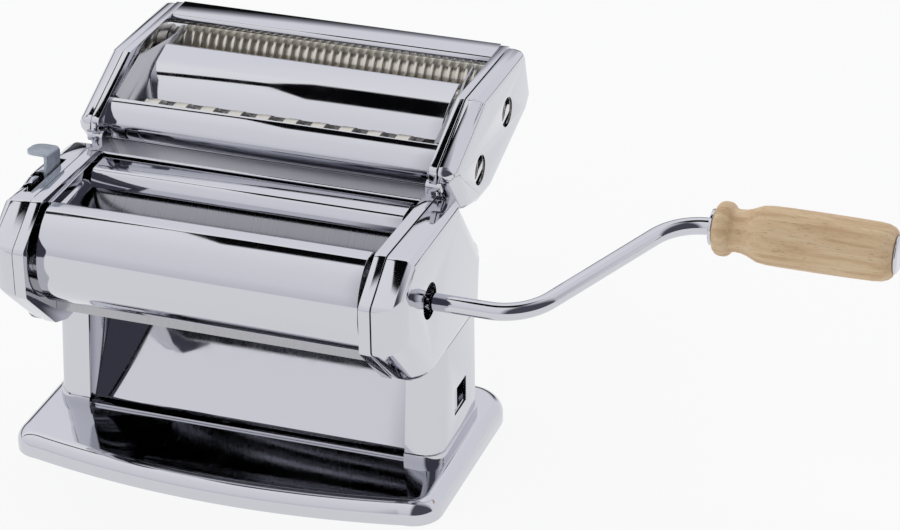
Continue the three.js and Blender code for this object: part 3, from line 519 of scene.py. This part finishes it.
# Drawn cover as a solid: the outline is extruded outwards, and every edge gets its own round.
def coverSolid(corners, rounds, cornerRound, xIn, xOut):
    deselectAll()
    bpy.ops.mesh.primitive_circle_add(vertices=len(corners), radius=mm, fill_type="NGON")
    piece = bpy.context.object
    for vertex, (y, z) in zip(piece.data.vertices, corners):
        vertex.co = Vector((xIn, y, z)) * mm
    bpy.ops.object.mode_set(mode="EDIT")
    bpy.ops.mesh.select_all(action="SELECT")
    bpy.ops.mesh.extrude_region_move(TRANSFORM_OT_translate={"value": ((xOut - xIn) * mm, 0, 0)})
    closeEdit()
    tidyMesh(piece)
    spots = [Vector(corner) for corner in corners]
    count = len(spots)
    trims = []
    for i, here in enumerate(spots):
        turn = (here - spots[i - 1]).angle(spots[(i + 1) % count] - here)
        trims.append(cornerRound * math.tan(turn / 2))
    largest = max(max(rounds), max(trims))
    weights = piece.data.attributes.new("bevel_weight_edge", "FLOAT", "EDGE")

    def cornerOf(spot):
        return min(range(count), key=lambda i: (spots[i] - spot.yz).length)

    for edge in piece.data.edges:
        ends = [piece.data.vertices[i].co / mm for i in edge.vertices]
        first, second = (cornerOf(end) for end in ends)
        if first == second:
            weights.data[edge.index].value = trims[first] / largest
        elif all(end.x > (xIn + xOut) / 2 for end in ends):
            side = first if (first + 1) % count == second else second
            weights.data[edge.index].value = rounds[side] / largest
    applyModifier(piece, "BEVEL", width=largest * mm, segments=coverSteps, limit_method="WEIGHT",
                  use_clamp_overlap=False)
    return piece


def blockTool(x0, x1, y0, y1, z0, z1):
    deselectAll()
    middle = [(low + high) / 2 * mm for low, high in ((x0, x1), (y0, y1), (z0, z1))]
    bpy.ops.mesh.primitive_cube_add(size=1, location=middle)
    tool = bpy.context.object
    tool.scale = ((x1 - x0) * mm, (y1 - y0) * mm, (z1 - z0) * mm)
    settle(tool)
    return tool


head = {
    "corners": [(-46, 128.5), (-67, 114), (-67, 92.5), (-42, 67.5), (-31, 63.5),
                (36.5, 63.5), (40.5, 96), (18, 126)],
    "plateIn": 75.5, "plateOut": 80.5, "driveAxis": (-30.4, 101.3), "adjustableAxis": (4.0, 101.3),
    "socket": 4.1,  # the crank's hole in a driven shaft
}
# step is how far a cover lies inside its side plate's outline, and rounds has a value for each side of it
endCover = {
    "from": 81, "to": 93.5, "step": 0.5, "wall": 1.5, "corner": 4, "rim": 0.35, "hole": 8,
    "rounds": [4, 12, 11, 6, 5, 8, 12.3, 5],
    "swell": {"out": 95.5, "middle": -15, "half": 31, "deep": 30, "round": 5, "fade": 2.2,
              "top": 127.1, "lean": 2.24, "sides": 96},
    "slot": {"x": (84.5, 88.1), "y": (-38.2, -2.7), "z": (115, 135)},
    "notches": {"x": (86.3, 92.1), "wide": 4.5, "middles": (-32.3, -20.5, -8.6)},
}
cutOver = 2  # a hollow starts this far outside what it is cut from
mirrorGap = 0.001  # mm between vertices that become one again


def drawCover(corners, cover, holes=(), swelling=None):
    outer = insetOutline(corners, cover["step"])
    inner = insetOutline(corners, cover["step"] + cover["wall"])
    shell = coverSolid(outer, cover["rounds"], cover["corner"], cover["from"], cover["to"])
    innerRounds = [radius - cover["wall"] for radius in cover["rounds"]]
    hollow = coverSolid(inner, innerRounds, cover["corner"], cover["from"] - cutOver,
                        cover["to"] - cover["wall"])
    if swelling:
        carve(shell, swelling(wall=0), "UNION")
        carve(hollow, swelling(cover["wall"]), "UNION")
    low, high = cover["to"] - 2 * cutOver, cover["to"] + 2 * cutOver
    for y, z in holes:
        carve(shell, turnPiece([(low, cover["hole"]), (high, cover["hole"])], y, z))
    carve(shell, hollow)
    return shell


# Pieces are drawn on the right. Side 1 leaves one there, and side -1 mirrors it to the left.
def turnToSide(piece, side):
    piece.scale.x = side
    settle(piece)
    tidyMesh(piece, mirrorGap)


# Half oval in plan round the lever, rounded at the top and drawn in downwards.
def coverSwelling(wall):
    swell = endCover["swell"]
    start, middle = endCover["from"], swell["middle"]
    wide, half = swell["out"] - start - wall, swell["half"] - wall
    top = swell["top"] - wall
    low = top - swell["deep"]
    deselectAll()
    bpy.ops.mesh.primitive_circle_add(vertices=swell["sides"], radius=1, fill_type="NGON")
    piece = bpy.context.object
    piece.location = (start * mm, middle * mm, top * mm)
    piece.rotation_euler = (math.radians(-swell["lean"]), 0, 0)
    piece.scale = (wide * mm, half * mm, mm)
    settle(piece)
    bpy.ops.object.mode_set(mode="EDIT")
    bpy.ops.mesh.select_all(action="SELECT")
    bpy.ops.mesh.extrude_region_move(TRANSFORM_OT_translate={"value": (0, 0, -swell["deep"] * mm)})
    bpy.ops.transform.resize(value=(1 - swell["fade"] / wide, 1, 1),
                             center_override=(start * mm, middle * mm, low * mm))
    closeEdit()
    tidyMesh(piece)
    openWith(piece, "EDGE", lambda *ends: all(end.z > (top + low) / 2 for end in ends))
    bpy.ops.mesh.bevel(offset=(swell["round"] - wall) * mm, segments=coverSteps, affect="EDGES")
    bpy.ops.mesh.select_all(action="SELECT")
    if wall:
        start -= cutOver
    bpy.ops.mesh.bisect(plane_co=(start * mm, 0, 0), plane_no=(1, 0, 0), use_fill=True, clear_inner=True)
    closeEdit()
    tidyMesh(piece)
    return piece


def makeEndCovers():
    right = drawCover(head["corners"], endCover, [head["driveAxis"]])
    roundEdges(right, endCover["rim"], sharp=50)
    dress(right, "rightCoverShell", "frame", "chrome", "right_end_cover")

    left = drawCover(head["corners"], endCover, swelling=coverSwelling)
    gate, notches = endCover["slot"], endCover["notches"]
    slot = blockTool(*gate["x"], *gate["y"], *gate["z"])
    for y in notches["middles"]:
        notch = blockTool(*notches["x"], y - notches["wide"] / 2, y + notches["wide"] / 2, *gate["z"])
        carve(slot, notch, "UNION")
    carve(left, slot)
    turnToSide(left, -1)
    roundEdges(left, endCover["rim"], sharp=50)
    dress(left, "leftCoverShell", "frame", "chrome", "left_end_cover")


makeEndCovers()
print("end covers drawn")


# the pan's rim stands up from the table by the lift
base = {
    "width": 200, "depth": 119, "height": 11, "wall": 1.2, "lift": 0.8, "rim": 0.3,
    "bow": 9.5, "bowFrom": -20, "slice": 4, "edge": 7, "edgeSteps": 9,
    "frontCorner": 13, "rearCorner": 18, "cornerSteps": 12,
}


# A block with rounded corners is sliced across, its front is bowed out, and only its shell is kept.
def makeBase():
    half, rear = base["width"] / 2, base["depth"] / 2
    front = base["bow"] - rear
    pan = blockTool(-half, half, front, rear, base["lift"], base["height"])
    for y, corner in ((front, base["frontCorner"]), (rear, base["rearCorner"])):
        openWith(pan, "EDGE", lambda a, b: abs(a.y - y) < near and abs(b.y - y) < near < abs(a.z - b.z))
        bpy.ops.mesh.bevel(offset=corner * mm, segments=base["cornerSteps"], affect="EDGES")
        closeEdit()
    reach = half - base["frontCorner"]
    openWith(pan, "FACE", lambda centre, normal: True)
    slices = int(reach // base["slice"])
    for i in range(-slices, slices + 1):
        bpy.ops.mesh.select_all(action="SELECT")
        bpy.ops.mesh.bisect(plane_co=(i * base["slice"] * mm, 0, 0), plane_no=(1, 0, 0))
    closeEdit()
    for vertex in pan.data.vertices:
        x, y = vertex.co.x / mm, vertex.co.y / mm
        if y < base["bowFrom"]:
            share = (y - base["bowFrom"]) / (front - base["bowFrom"])
            vertex.co.y -= base["bow"] * max(0, 1 - (x / reach) ** 2) * share * mm
    openWith(pan, "FACE", lambda centre, normal: normal.z < -facing)
    bpy.ops.mesh.delete(type="FACE")
    closeEdit()
    openWith(pan, "FACE", lambda centre, normal: normal.z > facing)
    bpy.ops.mesh.dissolve_faces()
    bpy.ops.mesh.select_mode(type="EDGE")
    bpy.ops.mesh.region_to_loop()
    bpy.ops.mesh.bevel(offset=base["edge"] * mm, segments=base["edgeSteps"], affect="EDGES")
    closeEdit()
    applyModifier(pan, "SOLIDIFY", thickness=base["wall"] * mm, offset=-1, use_even_offset=True)
    roundEdges(pan, base["rim"], segments=2, sharp=60, smooth=30)
    dress(pan, "basePan", "frame", "chrome", "base_plate")


makeBase()
print("base pressed")


uprights = {"standRim": 0.4, "plateRim": 1.1, "guideRim": 0.4}


def makeStandsAndPlates():
    for side in ("right", "left"):
        for node, name, rim in ((side + "_stand", side + "StandSheet", uprights["standRim"]),
                                (side + "_side_plate", side + "HeadPlate", uprights["plateRim"])):
            piece = copyNode(node)
            roundEdges(piece, rim, sharp=40, smooth=45)
            dress(piece, name, "frame", "chrome", node)
        guide = copyNode(side + "_hopper_guide")
        roundEdges(guide, uprights["guideRim"], sharp=12)
        dress(guide, side + "HopperEnd", "frame", "chrome", side + "_hopper_guide")


makeStandsAndPlates()
print("stands and plates dressed")


# each path runs along (y, z), and its folds are the rounds at its bends
sheets = {
    "wall": 1.2, "rim": 0.3,
    "frontCover": {
        "half": 72.8,
        "path": [(-26.5, 118), (-40.6, 126.4), (-47.2, 126.35),
                 {"centre": (-36, 104), "angle": 134.4, "steps": 56}],
        "folds": {(-40.6, 126.4): 0.8, (-47.2, 126.35): 0.9},
    },
    "rearCover": {
        "half": 75.2,
        "path": [(32.5, 83), (32.5, 98), (19, 117.6), (13.2, 124.9)],
        "folds": {(32.5, 98): 2.5, (19, 117.6): 1},
    },
    "hopperRear": {
        "half": 72.2,
        "path": [(15, 120.2), (11.2, 124.6), (-3.2, 124.1), (-6.5, 117)],
        "folds": {(11.2, 124.6): 4, (-3.2, 124.1): 1.8},
    },
    "chute": {
        "half": head["plateIn"],
        "path": [(-15.1, 11), (-8.5, 11), (30.84, 71.6), (30.84, 94)],
        "folds": {(-8.5, 11): 1.5, (30.84, 71.6): 3},
    },
    "frontScraper": {
        "half": head["plateIn"],
        "path": [(-38.8, 73), (-38.8, 83), (-40.32, 87.13)],
        "folds": {(-38.8, 83): 2},
    },
    "rearScraper": {
        "half": head["plateIn"],
        "path": [(12.4, 73), (12.4, 83), (13.92, 87.13)],
        "folds": {(12.4, 83): 2},
    },
}


def makeSheet(key, name, slot, *nodes):
    sheet = sheets[key]
    piece = foldSheet(sheet["path"], sheet["half"], sheets["wall"], sheet["folds"])
    roundEdges(piece, sheets["rim"], segments=2, sharp=60, smooth=32)
    dress(piece, name, "frame", slot, *nodes)


makeSheet("frontCover", "frontCoverSheet", "chrome", "front_cover")
makeSheet("rearCover", "rearCoverSheet", "chrome", "rear_cover")
makeSheet("hopperRear", "hopperRearSheet", "chrome")
makeSheet("chute", "chuteSheet", "chrome", "chute_panel")
makeSheet("frontScraper", "frontScraperBlade", "steel", "front_scraper")
makeSheet("rearScraper", "rearScraperBlade", "steel", "rear_scraper")
print("sheets folded")


rollers = {
    "radius": 16.2, "half": 74.8, "journal": 6.4, "edge": 0.6, "sides": 128,
    "shaftEnd": 88.5, "gearEnd": 86.7, "socketEnd": 64.5,
}
ties = {"radius": 4, "rim": 0.3, "sides": 48, "front": (-55.3, 104), "rear": (23, 92)}


def makeRollers():
    radius, half, journal = rollers["radius"], rollers["half"], rollers["journal"]
    shared = [(-head["plateOut"], journal), (-half, journal), (-half, radius),
              (half, radius), (half, journal)]
    driveEnd = [(rollers["shaftEnd"], journal), (rollers["shaftEnd"], head["socket"]),
                (rollers["socketEnd"], head["socket"])]
    drive = turnPiece(shared + driveEnd, *head["driveAxis"], rollers["sides"])
    roundEdges(drive, rollers["edge"])
    dress(drive, "driveRollerTurned", "drive", "steel", "drive_roller", finish="roller")

    other = turnPiece(shared + [(rollers["gearEnd"], journal)], *head["adjustableAxis"], rollers["sides"])
    roundEdges(other, rollers["edge"])
    dress(other, "adjustableRollerTurned", "adjustable", "steel", "adjustable_roller", finish="roller")

    for side in ("front", "rear"):
        ends = [(-head["plateIn"], ties["radius"]), (head["plateIn"], ties["radius"])]
        tie = turnPiece(ends, *ties[side], ties["sides"])
        roundEdges(tie, ties["rim"], segments=2)
        dress(tie, side + "TieBar", "frame", "steel", side + "_tie")


makeRollers()
print("rollers turned")


crank = {
    "start": 65.5, "end": 273.2, "radius": 3.8, "sides": 48, "rim": 0.4,
    "corner": 135, "bend": 15, "steps": 16,
    "armOut": 43.6, "armLength": 79.3, "armLift": 8.7,  # mm along the axis, mm away from it, degrees up
    "washer": [(193.1, 3.9), (193.1, 8), (194.6, 8), (194.6, 3.9)], "washerRim": 0.3, "washerSides": 64,
    "cap": [(273.2, 8.5), (273.9, 8.5), (274.4, 7.5), (274.4, 3)], "capRim": 0.25, "capSides": 64,
    "gripStart": 194.9,
    "grip": [(0, 8.6), (0.5, 10.2), (1.6, 11.3), (3, 11.8), (5.2, 11.8), (6.6, 11.3), (7.4, 10.6), (7.8, 9.8),
             (9.4, 9.2), (12.4, 9.4), (15, 10.1), (17.5, 11.2), (19.8, 12.2), (24, 12.7), (30, 12.85),
             (45, 12.9), (60, 12.8), (70, 12.6), (73.8, 12.2), (76.2, 11.3), (77.5, 10.2), (78, 9)],
}


# The rod runs out of the drive roller, bends away, and bends back to run on as the handle's pin.
def makeCrank():
    lift = math.radians(crank["armLift"])
    aside = Vector((0, math.cos(lift), math.sin(lift)))
    arm = Vector((crank["armOut"], 0, 0)) + aside * crank["armLength"]
    turn = math.atan2(crank["armLength"], crank["armOut"])
    axis = Vector((1, 0, 0)).cross(aside)
    slope = arm.normalized()
    bend = crank["bend"]
    radius = bend / math.tan(turn / 2)
    first = Vector((crank["corner"], *head["driveAxis"]))
    second = first + arm
    start = Vector((crank["start"], *head["driveAxis"]))

    deselectAll()
    bpy.ops.mesh.primitive_circle_add(vertices=crank["sides"], radius=crank["radius"] * mm, fill_type="NGON",
                                      location=start * mm, rotation=(0, math.pi / 2, 0))
    rod = bpy.context.object
    settle(rod)
    bpy.ops.object.mode_set(mode="EDIT")
    bpy.ops.mesh.select_mode(type="FACE")
    bpy.ops.mesh.select_all(action="SELECT")
    into = first - Vector((bend, 0, 0))
    bpy.ops.mesh.extrude_region_move(TRANSFORM_OT_translate={"value": (into - start) * mm})
    bpy.ops.mesh.spin(steps=crank["steps"], angle=-turn, center=(into + aside * radius) * mm, axis=axis)
    bpy.ops.mesh.extrude_region_move(TRANSFORM_OT_translate={"value": slope * (arm.length - 2 * bend) * mm})
    out = second - slope * bend
    across = -axis.cross(slope)
    bpy.ops.mesh.spin(steps=crank["steps"], angle=-turn, center=(out + across * radius) * mm, axis=-axis)
    bpy.ops.mesh.extrude_region_move(TRANSFORM_OT_translate={
        "value": ((crank["end"] - second.x - bend) * mm, 0, 0)})
    closeEdit()
    tidyMesh(rod)
    roundEdges(rod, crank["rim"], segments=2)
    dress(rod, "crankRodBent", "crank", "chrome", "crank_rod")

    y, z = second.yz
    washer = turnPiece(crank["washer"], y, z, crank["washerSides"])
    roundEdges(washer, crank["washerRim"], segments=2)
    dress(washer, "handleWasherStamped", "crank", "chrome", "handle_washer")
    cap = turnPiece(crank["cap"], y, z, crank["capSides"])
    roundEdges(cap, crank["capRim"], segments=2)
    dress(cap, "handleCapPressed", "crank", "chrome", "handle_cap")
    grip = turnPiece([(crank["gripStart"] + x, radius) for x, radius in crank["grip"]], y, z)
    roundEdges(grip, width=0, smooth=60)
    dress(grip, "gripTurned", "grip", "beech", "handle_grip")


makeCrank()
print("crank bent")


lever = {
    "pivot": (-20.5, 82), "lean": -8.8, "out": 85.5, "wall": 1.6, "wide": 13, "rise": 54.1, "rim": 0.35,
    "tab": 9.5, "fold": 2.2, "corner": 4.5, "cornerSteps": 6,
    "hub": 8, "hubSides": 64, "bore": 3.7, "boreOver": 1,
    "pin": {"at": (-8.63, 94.12), "radius": 2.2, "in": 82.3, "sides": 32}, "web": {"long": 21.4, "half": 4.4},
}


# Folded blade with a tab for the thumb, drawn upright round its pivot, then leant, hubbed and pinned.
def makeLever():
    rise, wall = lever["rise"], lever["wall"]
    tabEnd = -(lever["tab"] + wall)
    deselectAll()
    bpy.ops.mesh.primitive_plane_add(size=1, location=(0, 0, 0.5 * rise * mm), rotation=(0, math.pi / 2, 0))
    blade = bpy.context.object
    blade.scale = (rise * mm, lever["wide"] * mm, 1)
    settle(blade)

    def onTop(*ends):
        return all(end.z > rise - near for end in ends)

    openWith(blade, "EDGE", onTop)
    bpy.ops.mesh.extrude_region_move(TRANSFORM_OT_translate={"value": (tabEnd * mm, 0, 0)})
    closeEdit()
    openWith(blade, "EDGE", lambda *ends: onTop(*ends) and all(abs(end.x) < near for end in ends))
    bpy.ops.mesh.bevel(offset=lever["fold"] * mm, segments=foldSteps, affect="EDGES")
    closeEdit()
    openWith(blade, "VERT", lambda spot: onTop(spot) and spot.x < tabEnd + near)
    bpy.ops.mesh.bevel(offset=lever["corner"] * mm, segments=lever["cornerSteps"], affect="VERTICES")
    closeEdit()
    tidyMesh(blade)
    face = max(blade.data.polygons, key=lambda face: face.area)
    applyModifier(blade, "SOLIDIFY", thickness=wall * mm, offset=1 if face.normal.x < 0 else -1,
                  use_even_offset=True)
    inner, outer = -lever["out"], -lever["out"] - wall
    y, z = lever["pivot"]
    blade.rotation_euler = (math.radians(lever["lean"]), 0, 0)
    blade.location = (inner * mm, y * mm, z * mm)
    settle(blade)

    carve(blade, turnPiece([(outer, lever["hub"]), (inner, lever["hub"])], y, z, lever["hubSides"]), "UNION")
    pin, web = lever["pin"], lever["web"]
    pinY, pinZ = pin["at"]
    strip = blockTool(outer, inner, 0, web["long"], -web["half"], web["half"])
    strip.rotation_euler = (math.atan2(pinZ - z, pinY - y), 0, 0)
    strip.location = (0, y * mm, z * mm)
    settle(strip)
    carve(blade, strip, "UNION")
    pinEnds = [(outer, pin["radius"]), (-pin["in"], pin["radius"])]
    carve(blade, turnPiece(pinEnds, pinY, pinZ, pin["sides"]), "UNION")
    boreEnds = [(outer - lever["boreOver"], lever["bore"]), (inner + lever["boreOver"], lever["bore"])]
    carve(blade, turnPiece(boreEnds, y, z, lever["hubSides"]))
    roundEdges(blade, lever["rim"], sharp=40)
    dress(blade, "leverBlade", "lever", "zinc", "thickness_lever")


makeLever()
print("lever folded")


# the attachment's own points are along it and up from its middle, before it is tilted
cutter = {
    "y": 67.5, "z": 129, "tilt": 16.4, "wall": 1.2, "rim": 0.3, "half": 77, "narrowHalf": 70, "plateRim": 0.9,
    "corners": [(-6.5, 29.1), (-47, 23.6), (-49.6, 17.6), (-40.4, -5.6), (-25.5, -14.7), (-10.3, -20.2),
                (42.5, -20.4), (51.4, -16), (51.4, 10.7)],
    "cover": {"from": 81, "to": 88.5, "step": 0.5, "wall": 1.2, "corner": 4, "rim": 0.35, "hole": 6.8,
              "rounds": [7.3, 7, 7, 4, 4, 4, 4, 4, 5]},
    "hook": {"y": 17.5, "z": 129.6, "radius": 2.9, "deep": 11, "from": 80, "to": 82.8, "sides": 40},
    "guide": {"path": [(70, 10), (70.4, 14), (72.2, 18), (74.6, 21), (76.6, 22.6)], "fold": 2, "wall": 0.8,
              "rim": 0.2, "middle": 1.5, "half": 31, "top": [(-6.5, 24.5), (51.4, 6.1)]},
}
cutterSheets = {
    "front": [(-41.9, 9.6), (-42.8, 12.7), (-42, 18), (-36, 22.6), (-32.2, 23.2)],
    "middle": [(-16.5, 10.8), (-3.5, 17), (13.5, 17), (14.9, 15.4)],
    "rear": [(36, 11.4), (36.5, 14.2), (50.2, 10.4)],
    "skirt": [(-38.4, -4.2), (-41.75, 9.3)],
    "hanger": [(-37.2, -6), (-27.5, -10.2), (-25.3, -13)],
    "divider": [(-6.6, -8), (-6.6, 13.6)],
}
cutterFolds = {"front": {1: 4, 2: 3, 3: 3}, "middle": {1: 6, 2: 1.2}, "rear": {1: 1.2}, "hanger": {1: 1.5}}


def cutterPoint(spot):
    along, up = spot
    tilt = math.radians(cutter["tilt"])
    return (cutter["y"] + along * math.cos(tilt) - up * math.sin(tilt),
            cutter["z"] + along * math.sin(tilt) + up * math.cos(tilt))


def makeCutterSheet(key, finish, *nodes):
    path = [cutterPoint(spot) for spot in cutterSheets[key]]
    half = cutter["narrowHalf"] if key in ("middle", "divider") else cutter["half"]
    folds = {path[i]: size for i, size in cutterFolds.get(key, {}).items()}
    piece = foldSheet(path, half, cutter["wall"], folds)
    roundEdges(piece, cutter["rim"], segments=2, sharp=60, smooth=32)
    dress(piece, "cutter" + key.capitalize() + "Sheet", "cutter", "chrome", *nodes, finish=finish)


# Curved end walls that lead the dough in from the side plates.
def makeCutterGuides():
    guide = cutter["guide"]
    path = guide["path"]
    for side, name in ((1, "rightCutterGuide"), (-1, "leftCutterGuide")):
        piece = foldSheet(path, guide["half"], guide["wall"], {spot: guide["fold"] for spot in path[1:-1]})
        piece.matrix_world = (Matrix.Translation(Vector((0, *cutterPoint((guide["middle"], 0)))) * mm)
                              @ Matrix.Rotation(math.radians(cutter["tilt"]), 4, "X")
                              @ Matrix.Rotation(math.radians(-90), 4, "Z"))
        settle(piece)
        front, rear = (Vector((0, *cutterPoint(spot))) * mm for spot in guide["top"])
        openWith(piece, "FACE", lambda centre, normal: True)
        bpy.ops.mesh.bisect(plane_co=front, plane_no=(rear - front).cross(Vector((-1, 0, 0))), use_fill=True,
                            clear_outer=True)
        closeEdit()
        turnToSide(piece, side)
        roundEdges(piece, guide["rim"], segments=2, sharp=60)
        dress(piece, name, "cutter", "steel")


def makeCutterEnds():
    cover, hook = cutter["cover"], cutter["hook"]
    corners = [cutterPoint(spot) for spot in cutter["corners"]]
    right = drawCover(corners, cover, [cutterPoint(spot) for spot in drums["driven"].values()])
    left = drawCover(corners, cover)
    y, z, radius = hook["y"], hook["z"], hook["radius"]
    for shell in (right, left):
        slot = blockTool(hook["from"], hook["to"], y - radius, y + radius, z - hook["deep"], z)
        carve(slot, turnPiece([(hook["from"], radius), (hook["to"], radius)], y, z, hook["sides"]), "UNION")
        carve(shell, slot)
    turnToSide(left, -1)
    for piece, side in ((right, "right"), (left, "left")):
        roundEdges(piece, cover["rim"], sharp=50)
        dress(piece, side + "CutterCoverShell", "cutter", "chrome", "cutter_" + side + "_cover")
        plate = copyNode("cutter_" + side + "_plate")
        roundEdges(plate, cutter["plateRim"], sharp=40, smooth=45)
        dress(plate, side + "CutterPlate", "cutter", "chrome", "cutter_" + side + "_plate")


# of each pair of drums, the driven one takes the crank in its right end
drums = {
    "radius": {"wide": 9.9, "narrow": 9.4}, "half": {"wide": 71.5, "narrow": 74.5},
    "pitch": {"wide": 13, "narrow": 4}, "clear": 0.4, "edge": 0.3, "core": 7, "coreOver": 1, "sides": 56,
    "driven": {"wide": (-19.3, 0), "narrow": (19.3, 0)},
    "second": {"wide": (-31.25, 12.37), "narrow": (36.5, 0)},
    "shaft": 5.6, "shaftRim": 0.2, "shaftEnd": 86, "socketEnd": 62, "gearEnd": 84.2,
}


# One ring is turned and copied along the core. The second drum's rings stand in the first one's gaps.
def makeDrum(kind, pair):
    driven = pair == "driven"
    pitch, radius = drums["pitch"][kind], drums["radius"][kind]
    y, z = cutterPoint(drums[pair][kind])
    ring = pitch / 2 - drums["clear"]
    half = drums["half"][kind] - (0 if driven else pitch / 2)
    count = int(2 * half // pitch)
    first = -(count - 1) * pitch / 2
    rings = turnPiece([(first - ring / 2, radius), (first + ring / 2, radius)], y, z, drums["sides"])
    roundEdges(rings, drums["edge"], segments=2)
    applyModifier(rings, "ARRAY", count=count, use_relative_offset=False, use_constant_offset=True,
                  constant_offset_displace=(pitch * mm, 0, 0))

    end, core, thin = drums["half"][kind] + drums["coreOver"], drums["core"], drums["shaft"]
    profile = [(-head["plateOut"], thin), (-end, thin), (-end, core), (end, core), (end, thin)]
    if driven:
        profile += [(drums["shaftEnd"], thin), (drums["shaftEnd"], head["socket"]),
                    (drums["socketEnd"], head["socket"])]
    else:
        profile.append((drums["gearEnd"], thin))
    shaft = turnPiece(profile, y, z, drums["sides"])
    roundEdges(shaft, drums["shaftRim"], segments=2)
    pick(rings, shaft)
    bpy.ops.object.join()
    name, node = ("Drive", "_drive") if driven else ("Second", "_second")
    dress(rings, kind + name + "DrumRings", kind + node, "steel", kind + node + "_drum", finish="nickel")


makeCutterSheet("front", "chrome", "cutter_front_plate")
makeCutterSheet("middle", "chrome", "cutter_middle_plate")
makeCutterSheet("rear", "chrome", "cutter_rear_plate")
makeCutterSheet("skirt", "sheet")
makeCutterSheet("hanger", "sheet", "cutter_hanger")
makeCutterSheet("divider", "sheet")
makeCutterGuides()
makeCutterEnds()
for kind in ("wide", "narrow"):
    for pair in ("driven", "second"):
        makeDrum(kind, pair)
print("cutter attachment built")


bpy.context.view_layer.update()
